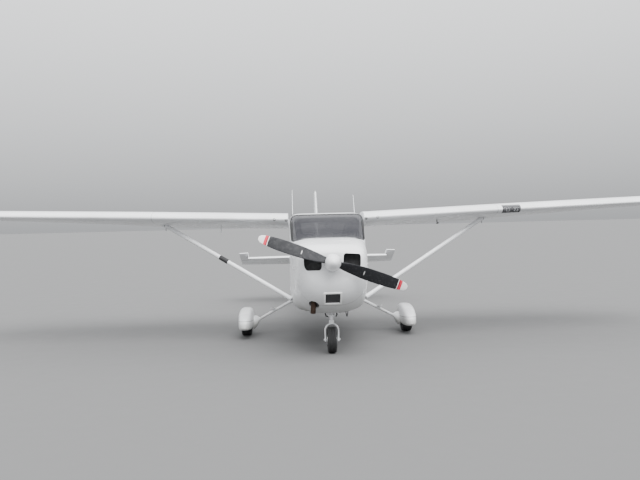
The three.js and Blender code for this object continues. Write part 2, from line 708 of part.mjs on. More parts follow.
function makeStrut() {
  const from = V(STRUT_LOW.x, STRUT_LOW.y, STRUT_LOW.z);
  const to = V(STRUT_HIGH.x, STRUT_HIGH.y, STRUT_HIGH.z);
  const along = to.clone().sub(from).normalize();
  const chordway = V(0, 1, 0).addScaledVector(along, -along.y).normalize();
  const thickway = along.clone().cross(chordway);
  const ring = (p) => aerofoil(STRUT_THICK / STRUT_CHORD).map(([u, v]) => (
    p.clone().addScaledVector(chordway, (u - 0.45) * STRUT_CHORD).addScaledVector(thickway, v * STRUT_CHORD)
  ));
  return cut(loft([ring(from), ring(to)]), cabinClear, wing.whole, moved(wing.whole, 0, 0, -SEAT_GAP));
}

// Tail cone, fin, rudder, stabilisers, elevator and trim tab
const TAIL_END = 30;

function makeTailCone() {
  const table = extended(TAIL_TABLE, 10, 0);
  const room = [...table.slice(0, -1), { ...table.at(-1), y: table.at(-1).y - TAIL_END }];
  return cut(fuselage(TAIL_TABLE), fuselage(room, TAIL_WALL));
}

function makeFin() {
  const ring = ([z, lead, trail]) => aerofoil(FIN_THICK).map(([u, v]) => (
    V(v * (trail - lead), THREE.MathUtils.lerp(lead, trail, u), z)
  ));
  const whole = loft(FIN_TABLE.map(ring));
  const from = V(0, RUDDER_LOW.y, RUDDER_LOW.z);
  const to = V(0, RUDDER_HIGH.y, RUDDER_HIGH.z);
  const along = to.clone().sub(from).normalize();
  const aft = V(0, along.z, -along.y);
  const noseAt = (index, y) => {
    const [, lead, trail] = FIN_TABLE[index];
    return (trail - lead) * halfThickness((y - lead) / (trail - lead), FIN_THICK);
  };
  const past = 260;
  const space = {
    from: from.clone().addScaledVector(along, -past),
    to: to.clone().addScaledVector(along, past),
    aft,
    noseFrom: noseAt(0, RUDDER_LOW.y),
    noseTo: noseAt(3, RUDDER_HIGH.y),
  };
  const lift = (z) => (z - RUDDER_LOW.z) / (RUDDER_HIGH.z - RUDDER_LOW.z);
  const axisAt = (z) => from.clone().lerp(to, lift(z));
  const length = to.distanceTo(from);
  const lugs = lugsOn(space, RUDDER_LUGS.map((z) => (lift(z) * length + past) / (length + 2 * past)));
  const hornSpace = (grow) => {
    const base = axisAt(RUDDER_HORN.z).addScaledVector(along, -grow);
    const ahead = aft.clone().multiplyScalar(-(RUDDER_HORN.forward + grow));
    const top = along.clone().multiplyScalar(400);
    const corners = [[ahead], [], [top], [ahead, top]];
    const across = (x) => corners.map((shifts) => shifts.reduce((p, d) => p.add(d), base.clone()).setX(x));
    return loft([across(-100), across(100)]);
  };
  const split = splitAtHinge(whole, space, lugs);
  const dorsal = prism(DORSAL, 'x', -13, 13);
  const belowFin = box(-200, 200, 4000, 7000, -400, 262);
  const web = noseAt(0, RUDDER_LOW.y) + HINGE_GAP + TAIL_SKIN.web;
  const hollow = loft(FIN_TABLE.map(([z, lead, trail]) => thinned(FIN_THICK).map(([u, v]) => (
    V(v * (trail - lead), THREE.MathUtils.lerp(lead, trail, u), z)
  )))).intersect(prism([
    [4000, 200], [axisAt(200).y - web, 200], [axisAt(RUDDER_HORN.z).y - web, RUDDER_HORN.z - 60],
    [4000, RUDDER_HORN.z - 60],
  ], 'x', -200, 200));
  return {
    fin: cut(join(cut(split.fixed, hornSpace(HINGE_GAP), hollow), dorsal), tailClear, belowFin),
    rudder: join(split.moving, whole.intersect(hornSpace(0))),
  };
}

function makeTailplane() {
  const ring = ([x, lead, trail]) => aerofoil(STAB.thick).map(([u, v]) => (
    V(x, THREE.MathUtils.lerp(lead, trail, u), v * (trail - lead))
  ));
  const root = [STAB.rootX, STAB.rootLead, STAB.rootTrail];
  const whole = loft([
    root,
    [STAB.tipX, STAB.tipLead, STAB.tipTrail],
    [STAB.tipX + 25, STAB.tipLead + 60, STAB.tipTrail - 40],
  ].map(ring));
  const inside = ([x, lead, trail]) => thinned(STAB.thick).map(([u, v]) => (
    V(x, THREE.MathUtils.lerp(lead, trail, u), v * (trail - lead))
  ));
  const noseAt = (x) => {
    const out = (x - STAB.rootX) / (STAB.tipX - STAB.rootX);
    const lead = THREE.MathUtils.lerp(STAB.rootLead, STAB.tipLead, out);
    const trail = THREE.MathUtils.lerp(STAB.rootTrail, STAB.tipTrail, out);
    return (trail - lead) * halfThickness((ELEVATOR_HINGE_Y - lead) / (trail - lead), STAB.thick);
  };
  const end = STAB.tipX + 60;
  const space = {
    from: V(ELEVATOR_INNER_X, ELEVATOR_HINGE_Y, 0),
    to: V(end, ELEVATOR_HINGE_Y, 0),
    aft: V(0, 1, 0),
    noseFrom: noseAt(ELEVATOR_INNER_X),
    noseTo: noseAt(end),
  };
  const lugs = lugsOn(space, STAB_LUGS);
  const horn = (grow) => box(HORN_X - grow, 1900, HORN_LEAD_Y - 300, ELEVATOR_HINGE_Y + 40, -90, 90);
  const split = splitAtHinge(whole, space, lugs);
  const clearRudder = prism(RUDDER_ROOM, 'z', -200, 200);
  const tubeEnd = ELEVATOR_INNER_X - SEAT_GAP;
  const tube = bar(V(-tubeEnd, ELEVATOR_HINGE_Y, 0), V(tubeEnd, ELEVATOR_HINGE_Y, 0), ELEVATOR_TUBE_RADIUS);
  const moving = cut(join(split.moving, whole.intersect(horn(0))), clearRudder);
  const inner = box(0, ELEVATOR_INNER_X - 20, ELEVATOR_HINGE_Y - 90, 6900, -200, 200);
  const web = ELEVATOR_HINGE_Y - noseAt(ELEVATOR_INNER_X) - HINGE_GAP - TAIL_SKIN.web;
  const hollow = loft([root, [HORN_X - 60, STAB.tipLead, STAB.tipTrail]].map(inside))
    .intersect(box(-10, 1900, 5000, web, -200, 200));
  const tail = moved(tailClear, 0, 0, -STAB.z);
  const fixed = cut(split.fixed, horn(HINGE_GAP), inner, clearRudder, hollow, tail);
  return { fixed, elevator: moving, tube };
}

const tabSpace = (grow) => hingeSpace({
  from: V(TAB.to, TAB.hingeY, 0),
  to: V(TAB.from, TAB.hingeY, 0),
  aft: V(0, 1, 0),
  noseFrom: 9,
  noseTo: 9,
  grow,
  endGrow: grow,
});

addPiece('tail_cone', makeTailCone(), 'white');
const vertical = makeFin();
addPiece('fin', vertical.fin, 'white');
addPiece('rudder', vertical.rudder, 'white');
const tailplane = makeTailplane();
const hingeAxis = new THREE.Group();
hingeAxis.position.set(0, ELEVATOR_HINGE_Y, STAB.z);
hingeAxis.rotation.x = ELEVATOR_DROOP;
aircraft.add(hingeAxis);
const aboutHinge = (solid) => moved(solid, 0, -ELEVATOR_HINGE_Y, 0);
for (const [side, turn] of sides) {
  addPiece(`stabiliser_${side}`, moved(turn(tailplane.fixed), 0, 0, STAB.z), 'white');
}
const rightHalf = mirrored(tailplane.elevator);
const tabHinge = hingeLug(V(-630, TAB.hingeY, 0), V(1, 0, 0), V(0, -1, 0), 30, 14);
addPiece('elevator_left', aboutHinge(tailplane.elevator), 'white', hingeAxis);
addPiece('elevator_tube', aboutHinge(tailplane.tube), 'steel', hingeAxis);
addPiece('elevator_right', aboutHinge(join(cut(rightHalf, tabSpace(5)), tabHinge.lug)), 'white', hingeAxis);
addPiece('trim_tab', aboutHinge(join(cut(rightHalf.intersect(tabSpace(0)), tabHinge.notch), tabHinge.pin)),
  'white', hingeAxis);

// Cabin fittings
const COAMING = { half: 350, front: FIREWALL_THICK + SEAT_GAP, back: 425, top: 286, thick: 16, panelLow: 40 };
const SEAT_X = 245;
const SEAT = {
  half: 205, baseHalf: 160, front: 905, back: 1330, top: -285, thick: 120, backTop: 315, lean: 150,
};
const BENCH = {
  half: 430, baseHalf: 270, front: 1640, back: 2060, top: -270, thick: 130, backTop: 200, lean: 110,
};
const HEADREST = { half: 118, low: 352, high: 509, thick: 78, postRadius: 7, postX: 62 };
const YOKE = { x: 235, z: 165, reach: 190, column: 13, half: 135, grip: 11, drop: 95 };

function makePanel() {
  const { half, front, back, top, thick, panelLow } = COAMING;
  const yoke = makeYoke();
  const shelf = box(-half, half, front, back, top - thick, top);
  const face = box(-half, half, back - 26, back, panelLow, top);
  return join(shelf, face, yoke, mirrored(yoke));
}

// A seat: its side outline of cushion and leaning back pushed across its width, on a narrower base
function makeSeat({ half, baseHalf, front, back, top, thick, backTop, lean }, x) {
  const outline = [
    [front + 10, top - thick], [back - 20, top - thick], [back + 60, top - 20],
    [back + lean + 60, backTop - 30], [back + lean + 35, backTop], [back + lean - 35, backTop - 5],
    [back - 70, top + 30], [back - 110, top], [front + 20, top + 8], [front, top - 25],
  ];
  const base = box(x - baseHalf, x + baseHalf, front + 60, back - 60, FLOOR_Z + SEAT_GAP, top - thick + 20);
  return join(prism(outline, 'x', x - half, x + half), base);
}

// A padded head restraint on two posts over a front seat's back
function makeHeadrest(x) {
  const { half, low, high, thick, postRadius, postX } = HEADREST;
  const y = SEAT.back + SEAT.lean;
  const edge = thick / 2;
  const pad = prism([
    [y - edge, low + 14], [y - edge + 14, low], [y + edge - 14, low], [y + edge, low + 14],
    [y + edge, high - 26], [y + edge - 20, high], [y - edge + 26, high], [y - edge + 6, high - 26],
  ], 'x', x - half, x + half);
  const posts = [-postX, postX].map((dx) => (
    bar(V(x + dx, y, SEAT.backTop - 40), V(x + dx, y, low + 20), postRadius, undefined, 12)
  ));
  return join(pad, ...posts);
}

function makeYoke() {
  const start = V(YOKE.x, COAMING.back - 10, YOKE.z);
  const hub = V(YOKE.x, COAMING.back + YOKE.reach, YOKE.z);
  const arm = (dx, dz) => hub.clone().add(V(dx, 0, dz));
  return join(
    bar(start, hub, YOKE.column, undefined, 12),
    bar(arm(-YOKE.half, -20), arm(YOKE.half, -20), YOKE.grip, undefined, 12),
    bar(arm(-YOKE.half, -30), arm(-YOKE.half - 8, YOKE.drop), YOKE.grip + 3, undefined, 12),
    bar(arm(YOKE.half, -30), arm(YOKE.half + 8, YOKE.drop), YOKE.grip + 3, undefined, 12),
  );
}

addPiece('instrument_panel', makePanel(), 'panel');
for (const [side, turn] of sides) {
  addPiece(`seat_${side}`, turn(join(makeSeat(SEAT, SEAT_X), makeHeadrest(SEAT_X))), 'fabric');
}
addPiece('rear_bench', makeSeat(BENCH, 0), 'fabric');

// Exhaust pipe, out of the engine's belly and through the cowling
const EXHAUST = {
  x: -232, y: -590, tipX: -250, tipY: -562, tipZ: -632, radius: 33, wall: 3, bore: 70,
};

function makeExhaust() {
  const { x, y, tipX, tipY, tipZ, radius, wall, bore } = EXHAUST;
  const top = V(x, y, ENGINE.bottom - SEAT_GAP);
  const tip = V(tipX, tipY, tipZ);
  const along = tip.clone().sub(top).normalize();
  const deep = tip.clone().addScaledVector(along, -bore);
  const inside = bar(deep, tip.clone().addScaledVector(along, 5), radius - wall);
  const aboveTop = box(x - 60, x + 60, y - 60, y + 60, ENGINE.bottom - SEAT_GAP, 0);
  return cut(bar(top, tip, radius), inside, aboveTop);
}

addPiece('exhaust_pipe', makeExhaust(), 'rust');

// Whip aerials on the cabin roof
const WHIPS = [
  // side, span x, height, lean aft
  ['left', 490, 300, 170],
  ['right', -495, 410, 230],
];
const WHIP = {
  y: 1524, low: 700, footTop: 810, from: 795, above: 825, radius: 5, tip: 2.5, foot: 22, footTip: 16,
};
const stubClear = moved(rootStub, 0, 0, SEAT_GAP);
const roofClear = join(cabinClear, stubClear, mirrored(stubClear));
for (const [side, x, height, lean] of WHIPS) {
  const whip = join(
    bar(V(x, WHIP.y, WHIP.low), V(x, WHIP.y, WHIP.footTop), WHIP.foot, WHIP.footTip, 16),
    bar(V(x, WHIP.y, WHIP.from), V(x, WHIP.y + lean, WHIP.above + height), WHIP.radius, WHIP.tip, 8),
  );
  addPiece(`aerial_${side}`, cut(whip, roofClear), 'black');
}

// A tyre's closed profile: half its width is 0.5; the tread is flat and the shoulders fall away
function tyreProfile({ width, radius, rim }, bead, wall, shoulder, fall) {
  const half = [
    [0.15 * width, radius],
    [0.34 * width, radius - fall],
    [0.5 * width, radius - shoulder],
    [0.5 * width, rim + wall],
    [0.5 * width - bead, rim],
  ];
  const other = half.map(([along, r]) => [-along, r]).reverse();
  return [...other, ...half, other[0]];
}

// Main gear
function mainGear() {
  const axleZ = heightOverGround(MAIN_WHEEL.y, MAIN_WHEEL.radius);
  const centre = V(MAIN_WHEEL.x, MAIN_WHEEL.y, axleZ);
  const inner = V(LEG_INNER.x, LEG_INNER.y, heightOverGround(LEG_INNER.y, LEG_INNER.worldZ));
  const outer = V(LEG_OUTER.x, LEG_OUTER.y, heightOverGround(LEG_OUTER.y, LEG_OUTER.worldZ));
  const leg = bar(inner, outer, LEG_THICK / 2, LEG_THICK / 2 - LEG_TAPER, 20);
  const axleAt = (x) => V(x, MAIN_WHEEL.y, axleZ);
  const axle = bar(axleAt(LEG_OUTER.x - 12), axleAt(MAIN_WHEEL.x + 62), AXLE_RADIUS);
  const knuckle = box(
    LEG_OUTER.x - 20, LEG_OUTER.x + 12, LEG_OUTER.y - 34, MAIN_WHEEL.y + 34, axleZ - 34, axleZ + 40,
  );
  const middle = inner.clone().lerp(outer, STEP.along);
  const plateZ = middle.z + STEP.rise;
  const step = join(
    box(
      middle.x - STEP.half, middle.x + STEP.half, middle.y - STEP.front, middle.y + STEP.back,
      plateZ, plateZ + STEP.thick,
    ),
    box(
      middle.x - STEP.web, middle.x + STEP.web, middle.y - STEP.front / 2, middle.y + STEP.back / 2,
      middle.z, plateZ + STEP.thick / 2,
    ),
  );
  const tyre = turned(tyreProfile(MAIN_WHEEL, 14, 40, 42, 8), 'x', centre, TYRE_SIDES);
  const bore = AXLE_RADIUS + 0.6;
  const hub = turned([
    [-60, bore], [-60, 34], [-46, 34], [-50, MAIN_WHEEL.rim - SEAT_GAP], [50, MAIN_WHEEL.rim - SEAT_GAP],
    [46, 34], [58, 34], [58, bore], [-60, bore],
  ], 'x', centre, TYRE_SIDES);
  return { centre, leg: join(leg, knuckle, axle, step), tyre, hub };
}

// Teardrop wheel fairing: station y from the axle, half width, widest level, top and bottom over the ground
const FAIRING_TABLE = [
  [-520, 22, 222, 246, 196, 2.1, 2.1],
  [-495, 52, 226, 290, 168, 2.2, 2.2],
  [-420, 84, 232, 350, 146, 2.4, 2.3],
  [-250, 108, 240, 411, 134, 2.8, 2.6],
  [0, 116, 248, 433, 134, 3.0, 2.8],
  [260, 98, 254, 410, 146, 2.8, 2.6],
  [520, 54, 266, 350, 186, 2.4, 2.3],
  [700, 12, 284, 304, 262, 2.0, 2.0],
];

function makeFairing(gear) {
  const rings = (inset) => FAIRING_TABLE.map(([y, half, belt, top, bottom, above, below], i, all) => {
    const ends = i === 0 || i === all.length - 1;
    const dy = ends ? inset * 3 * Math.sign(-y) : 0;
    return SECTION([y + dy, Math.max(4, half - inset), belt, top - inset, bottom + inset, above, below]);
  });
  const solid = (inset) => loft(rings(inset).map((s) => fuselageRing(s, 0, FAIRING_POINTS).map((p) => (
    V(p.x + MAIN_WHEEL.x, p.y + MAIN_WHEEL.y, heightOverGround(MAIN_WHEEL.y + p.y, p.z))
  ))));
  const { half: roomHalf, reach } = TYRE_ROOM;
  const tyreRoom = box(
    MAIN_WHEEL.x - roomHalf, MAIN_WHEEL.x + roomHalf, MAIN_WHEEL.y - reach, MAIN_WHEEL.y + reach,
    gear.centre.z - 2 * MAIN_WHEEL.radius, gear.centre.z,
  );
  const axleFrom = V(LEG_OUTER.x, gear.centre.y, gear.centre.z);
  const axleRoom = bar(axleFrom, gear.centre, AXLE_RADIUS + SEAT_GAP + 0.2);
  return cut(solid(0), solid(FAIRING_WALL), tyreRoom, axleRoom);
}

const gear = mainGear();
const fairing = makeFairing(gear);
for (const [side, turn] of sides) {
  addPiece(`gear_leg_${side}`, turn(cut(gear.leg, cabinClear)), 'white');
  addPiece(`main_tyre_${side}`, turn(gear.tyre), 'rubber');
  addPiece(`main_hub_${side}`, turn(gear.hub), 'steel');
  addPiece(`wheel_fairing_${side}`, turn(fairing), 'white');
}

// Nose gear
const noseAxle = V(0, NOSE_WHEEL.y, heightOverGround(NOSE_WHEEL.y, NOSE_WHEEL.radius));
const forkTop = noseAxle.z + NOSE_WHEEL.radius + 26;

function makeFork() {
  const inner = FORK_INNER + FORK_TUBE;
  const bendZ = forkTop - inner + FORK_TUBE;
  const foot = noseAxle.z - 20;
  const arc = [];
  for (let i = 0; i <= 10; i += 1) {
    const t = Math.PI - (Math.PI * i) / 10;
    arc.push(V(inner * Math.cos(t), NOSE_WHEEL.y, bendZ + inner * Math.sin(t)));
  }
  const points = [V(-inner, NOSE_WHEEL.y, foot), ...arc, V(inner, NOSE_WHEEL.y, foot)];
  const wide = 26;
  const rings = points.map((p, i) => {
    const before = points[Math.max(0, i - 1)];
    const after = points[Math.min(points.length - 1, i + 1)];
    const along = after.clone().sub(before).normalize();
    const out = V(-along.z, 0, along.x);
    return Array.from({ length: 8 }, (_, k) => {
      const t = (2 * Math.PI * k) / 8;
      return p.clone().addScaledVector(out, FORK_TUBE * Math.cos(t)).add(V(0, wide * Math.sin(t), 0));
    });
  });
  const arch = loft(rings);
  const onLine = (z) => V(0, NOSE_WHEEL.y, z);
  const top = bendZ + inner;
  const crown = bar(onLine(top - 4), onLine(top + CROWN_HEIGHT), 34, 30, 24);
  const piston = bar(onLine(top + 30), onLine(top + PISTON_HEIGHT), PISTON_RADIUS);
  const axle = bar(V(-inner - 16, NOSE_WHEEL.y, noseAxle.z), V(inner + 16, NOSE_WHEEL.y, noseAxle.z), 11);
  const crownTop = top + CROWN_HEIGHT;
  return {
    fork: join(arch, crown, piston, axle, makeTorqueLinks(crownTop)),
    pistonTop: top + PISTON_HEIGHT,
    crownTop,
  };
}

// A steering collar round the oleo's foot and the two arms that tie it to the crown behind the leg
function makeTorqueLinks(crownTop) {
  const { reach, half, kneeHalf, thick, pin, collar, collarLow, collarHigh } = TORQUE_LINK;
  const foot = crownTop + OLEO_FOOT;
  const onLine = (z) => V(0, NOSE_WHEEL.y, z);
  const ring = cut(
    bar(onLine(foot + collarLow), onLine(foot + collarHigh), collar, undefined, 24),
    bar(onLine(foot), onLine(foot + collarHigh + 10), OLEO_RADIUS + 2 * SEAT_GAP, undefined, 20),
  );
  const low = { y: NOSE_WHEEL.y + 26, z: crownTop - 20 };
  const high = { y: NOSE_WHEEL.y + OLEO_RADIUS + 4, z: foot + (collarLow + collarHigh) / 2 };
  const knee = { y: NOSE_WHEEL.y + reach, z: (low.z + high.z) / 2 };
  const plate = ({ y, z }, h) => [
    V(-h, y, z - thick / 2), V(h, y, z - thick / 2), V(h, y, z + thick / 2), V(-h, y, z + thick / 2),
  ];
  const arms = [low, high].map((end) => loft([plate(end, half), plate(knee, kneeHalf)]));
  const pinEnd = kneeHalf + 5;
  const kneePin = bar(V(-pinEnd, knee.y, knee.z), V(pinEnd, knee.y, knee.z), pin, undefined, 16);
  return join(ring, ...arms, kneePin);
}

function makeOleo(pistonTop, crownTop) {
  const onLine = (z) => V(0, NOSE_WHEEL.y, z);
  const tube = bar(onLine(crownTop + OLEO_FOOT), onLine(-300), OLEO_RADIUS);
  const bore = bar(onLine(crownTop + 30), onLine(pistonTop + SEAT_GAP), PISTON_RADIUS + SEAT_GAP);
  const arms = [-330, -610].map((z) => box(-30, 30, NOSE_WHEEL.y, -SEAT_GAP, z - 20, z + 20));
  return cut(join(tube, ...arms), bore);
}

const fork = makeFork();
addPiece('nose_oleo', makeOleo(fork.pistonTop, fork.crownTop), 'steel');
addPiece('nose_fork', fork.fork, 'white');
addPiece('nose_tyre', turned(tyreProfile(NOSE_WHEEL, 12, 34, 36, 7), 'x', noseAxle, TYRE_SIDES), 'rubber');
addPiece('nose_hub', turned([
  [-70, 11.6], [-70, 24], [-40, 26], [-44, NOSE_WHEEL.rim - SEAT_GAP], [44, NOSE_WHEEL.rim - SEAT_GAP],
  [40, 26], [70, 24], [70, 11.6], [-70, 11.6],
], 'x', noseAxle, TYRE_SIDES), 'steel');

export default aircraft;
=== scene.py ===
"""Looks of a four-seat, strut-braced, high-wing light aircraft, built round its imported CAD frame.

Most pieces are drawn in the airframe's own axes, in metres: x to its left, y aft of the firewall,
z up from the propeller's line. AIR turns and lifts them onto the parked aircraft's row frame.
"""

import math

import bmesh
import bpy
import numpy as np
from mathutils import Matrix, Vector


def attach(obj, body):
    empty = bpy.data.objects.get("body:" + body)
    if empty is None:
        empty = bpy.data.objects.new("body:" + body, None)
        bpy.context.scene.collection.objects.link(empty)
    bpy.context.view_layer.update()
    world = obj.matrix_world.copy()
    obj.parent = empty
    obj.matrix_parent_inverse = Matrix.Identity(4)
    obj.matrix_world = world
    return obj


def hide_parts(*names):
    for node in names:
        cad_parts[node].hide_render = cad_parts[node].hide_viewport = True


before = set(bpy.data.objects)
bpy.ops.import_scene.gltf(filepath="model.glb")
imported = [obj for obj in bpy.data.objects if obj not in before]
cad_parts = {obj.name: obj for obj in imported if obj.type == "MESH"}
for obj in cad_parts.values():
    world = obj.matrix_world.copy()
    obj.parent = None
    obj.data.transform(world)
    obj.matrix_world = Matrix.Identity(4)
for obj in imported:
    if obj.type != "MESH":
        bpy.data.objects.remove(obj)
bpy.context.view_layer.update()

MM = 0.001
PITCH = math.radians(4)
FIREWALL_Y, PROP_LINE_Z = -3.0106, 1.170
AIR = Matrix.Translation((0, FIREWALL_Y, PROP_LINE_Z)) @ Matrix.Rotation(-PITCH, 4, "X")
ROW = Matrix.Identity(4)
PROP_Y, PROP_TURN = -0.975, math.radians(-20)
SIDES = (("left", 1), ("right", -1))

# Camera

CAMERA_AT = Vector((-0.409, -12.139, 1.703))
CAMERA_YAW, CAMERA_PITCH, CAMERA_ROLL = (math.radians(a) for a in (1.816, -1.301, 1.40))
FOCAL_PX, IMAGE_WIDTH_PX, SENSOR_MM, VIEW_END = 673.0, 640, 36, 2000


def make_camera():
    ahead = Vector((
        math.sin(CAMERA_YAW) * math.cos(CAMERA_PITCH),
        math.cos(CAMERA_YAW) * math.cos(CAMERA_PITCH),
        math.sin(CAMERA_PITCH),
    ))
    level = ahead.cross(Vector((0, 0, 1))).normalized()
    upright = level.cross(ahead)
    right = level * math.cos(CAMERA_ROLL) - upright * math.sin(CAMERA_ROLL)
    up = level * math.sin(CAMERA_ROLL) + upright * math.cos(CAMERA_ROLL)
    data = bpy.data.cameras.new("photo_camera")
    data.sensor_width = SENSOR_MM
    data.lens = FOCAL_PX / IMAGE_WIDTH_PX * SENSOR_MM
    data.clip_end = VIEW_END
    camera = bpy.data.objects.new("photo_camera", data)
    camera.matrix_world = Matrix((
        (right.x, up.x, -ahead.x, CAMERA_AT.x),
        (right.y, up.y, -ahead.y, CAMERA_AT.y),
        (right.z, up.z, -ahead.z, CAMERA_AT.z),
        (0, 0, 0, 1),
    ))
    bpy.context.scene.collection.objects.link(camera)
    bpy.context.scene.camera = camera


make_camera()


# Small node helpers

class Graph:
    """A material's nodes; every call adds one node and gives its output."""

    def __init__(self, name):
        self.material = bpy.data.materials.new(name)
        self.material.use_nodes = True
        self.tree = self.material.node_tree
        self.shader = self.tree.nodes["Principled BSDF"]
        airframe = self.tree.nodes.new("ShaderNodeMapping")
        self.feed(airframe.inputs["Vector"], self.tree.nodes.new("ShaderNodeTexCoord").outputs["Object"])
        back = AIR.inverted()
        airframe.inputs["Location"].default_value = back.translation
        airframe.inputs["Rotation"].default_value = back.to_euler()
        self.coords = airframe.outputs[0]

    def feed(self, socket, value):
        if isinstance(value, bpy.types.NodeSocket):
            self.tree.links.new(value, socket)
        elif value is not None:
            socket.default_value = value

    def math(self, kind, a, b=None, c=None):
        node = self.tree.nodes.new("ShaderNodeMath")
        node.operation = kind
        for socket, value in zip(node.inputs, (a, b, c)):
            self.feed(socket, value)
        return node.outputs[0]

    def split(self, vector=None):
        node = self.tree.nodes.new("ShaderNodeSeparateXYZ")
        self.feed(node.inputs[0], vector or self.coords)
        return node.outputs

    def noise(self, scale, detail=4.0, rough=0.55, stretch=None):
        vector = self.coords
        if stretch:
            mapping = self.tree.nodes.new("ShaderNodeMapping")
            self.feed(mapping.inputs["Vector"], vector)
            mapping.inputs["Scale"].default_value = stretch
            vector = mapping.outputs[0]
        node = self.tree.nodes.new("ShaderNodeTexNoise")
        self.feed(node.inputs["Vector"], vector)
        node.inputs["Scale"].default_value = scale
        node.inputs["Detail"].default_value = detail
        node.inputs["Roughness"].default_value = rough
        return node.outputs["Fac"]

    def ramp(self, value, *stops, constant=False):
        node = self.tree.nodes.new("ShaderNodeValToRGB")
        self.feed(node.inputs[0], value)
        node.color_ramp.interpolation = "CONSTANT" if constant else "LINEAR"
        bands = node.color_ramp.elements
        while len(bands) < len(stops):
            bands.new(0.5)
        for band, (at, colour) in zip(bands, stops):
            band.position = at
            band.color = (*colour, 1) if isinstance(colour, tuple) else (colour, colour, colour, 1)
        return node.outputs["Color"]

    def between(self, value, low, high, out_low=0.0, out_high=1.0, smooth=False):
        node = self.tree.nodes.new("ShaderNodeMapRange")
        node.interpolation_type = "SMOOTHSTEP" if smooth else "LINEAR"
        self.feed(node.inputs["Value"], value)
        for name, number in (("From Min", low), ("From Max", high), ("To Min", out_low), ("To Max", out_high)):
            node.inputs[name].default_value = number
        return node.outputs["Result"]

    def mix(self, factor, a, b, how="MIX"):
        node = self.tree.nodes.new("ShaderNodeMix")
        node.data_type = "RGBA"
        node.blend_type = how
        self.feed(node.inputs["Factor"], factor)
        for socket, value in ((node.inputs[6], a), (node.inputs[7], b)):
            self.feed(socket, (*value, 1) if isinstance(value, tuple) and len(value) == 3 else value)
        return node.outputs[2]

    def bump(self, height, distance, strength=1.0):
        node = self.tree.nodes.new("ShaderNodeBump")
        node.inputs["Strength"].default_value = strength
        node.inputs["Distance"].default_value = distance
        self.feed(node.inputs["Height"], height)
        self.feed(self.shader.inputs["Normal"], node.outputs[0])

    def length(self, a, b):
        return self.math("SQRT", self.math("ADD", self.math("MULTIPLY", a, a), self.math("MULTIPLY", b, b)))

    def rows(self, across, along, pitch, spacing, size):
        """Dots in rows: a row every pitch metres of across, a dot every spacing metres of along."""
        away = self.length(self.math("PINGPONG", across, pitch / 2), self.math("PINGPONG", along, spacing / 2))
        return self.between(away, 0.3 * size, size, 1.0, 0.0)

    def line(self, value, at, width):
        """1 on the line where value is at, falling to 0 at width from it."""
        return self.between(self.math("ABSOLUTE", self.math("SUBTRACT", value, at)), 0.4 * width, width, 1.0, 0.0)

    def most(self, *values):
        out = values[0]
        for value in values[1:]:
            out = self.math("MAXIMUM", out, value)
        return out

    def set(self, **values):
        for name, value in values.items():
            self.feed(self.shader.inputs[name.replace("_", " ")], value)
        return self.material


WHITE = (0.80, 0.808, 0.822)
# the tone that dust, rivet dirt and the painted shade low down darken the paint towards
GRIME_AND_SHADE = (0.62, 0.61, 0.58)
RIVET_SIZE, SEAM_WIDTH, SEAM_TONE = 0.0046, 0.0036, (0.16, 0.16, 0.155)


def paint(name, colour=WHITE, rivets=(), seams=(), dirt=0.35, low_dirt_and_shade=None):
    """Gloss paint: faint waves, dust, rivet rows and panel lines, and, where asked, a darkening towards the bottom that
    is part dirt, part painted shade.

    rivets: (across axis, along axis, row pitch, rivet spacing) tuples; seams: (axis, place) tuples;
    low_dirt_and_shade: an axis, the place where the darkening towards the bottom starts and the place where it is full;
    the darkening is part dirt, part painted shade
    """
    g = Graph(name)
    axes = g.split()
    soil_and_shade = g.between(g.noise(1.7, 5), 0.42, 0.75, 0.0, dirt, smooth=True)
    soil_and_shade = g.math("ADD", soil_and_shade, g.between(g.noise(38, 3), 0.6, 0.78, 0.0, 0.22))
    # darker towards the bottom: part dirt, part painted shade
    if low_dirt_and_shade:
        axis, darkening_starts, darkening_full = low_dirt_and_shade
        soil_and_shade = g.math("ADD", soil_and_shade, g.between(axes[axis], darkening_starts, darkening_full, 0.0, 0.75, smooth=True))
    height = g.math("MULTIPLY", g.noise(2.3, 2), 0.6)
    if rivets:
        dots = g.most(*(g.rows(axes[across], axes[along], *steps, RIVET_SIZE) for across, along, *steps in rivets))
        height = g.math("ADD", height, g.math("MULTIPLY", dots, 0.45))
        soil_and_shade = g.math("ADD", soil_and_shade, g.math("MULTIPLY", dots, 0.55))
    soil_and_shade = g.math("MINIMUM", soil_and_shade, 1.0)
    tone = g.mix(soil_and_shade, colour, tuple(c * s for c, s in zip(colour, GRIME_AND_SHADE)))
    if seams:
        cuts = g.most(*(g.line(axes[axis], at, SEAM_WIDTH) for axis, at in seams))
        height = g.math("SUBTRACT", height, g.math("MULTIPLY", cuts, 0.8))
        tone = g.mix(g.math("MULTIPLY", cuts, 0.75), tone, SEAM_TONE)
    g.bump(height, 0.0016, 0.6)
    return g.set(
        Base_Color=tone,
        Roughness=g.between(soil_and_shade, 0, 1, 0.24, 0.6),
        Coat_Weight=0.25,
        Coat_Roughness=0.12,
    )


def plain(name, colour, rough, metal=0.0, grain=60.0, depth=0.0004, spread=0.25, stretch=None, **more):
    """A surface with a grain: its colour, roughness and height vary with one noise."""
    g = Graph(name)
    grained = g.noise(grain, 5, stretch=stretch)
    patchy = g.noise(5.0, 4)
    low = tuple(c * (1 - spread) for c in colour)
    high = tuple(min(1.0, c * (1 + spread)) for c in colour)
    tone = g.math("ADD", g.math("MULTIPLY", grained, 0.5), g.math("MULTIPLY", patchy, 0.5))
    g.bump(grained, depth)
    return g.set(
        Base_Color=g.ramp(tone, (0.32, low), (0.68, high)),
        Roughness=g.between(tone, 0.3, 0.7, max(0.05, rough - 0.09), min(1, rough + 0.09)),
        Metallic=metal,
        **more,
    )


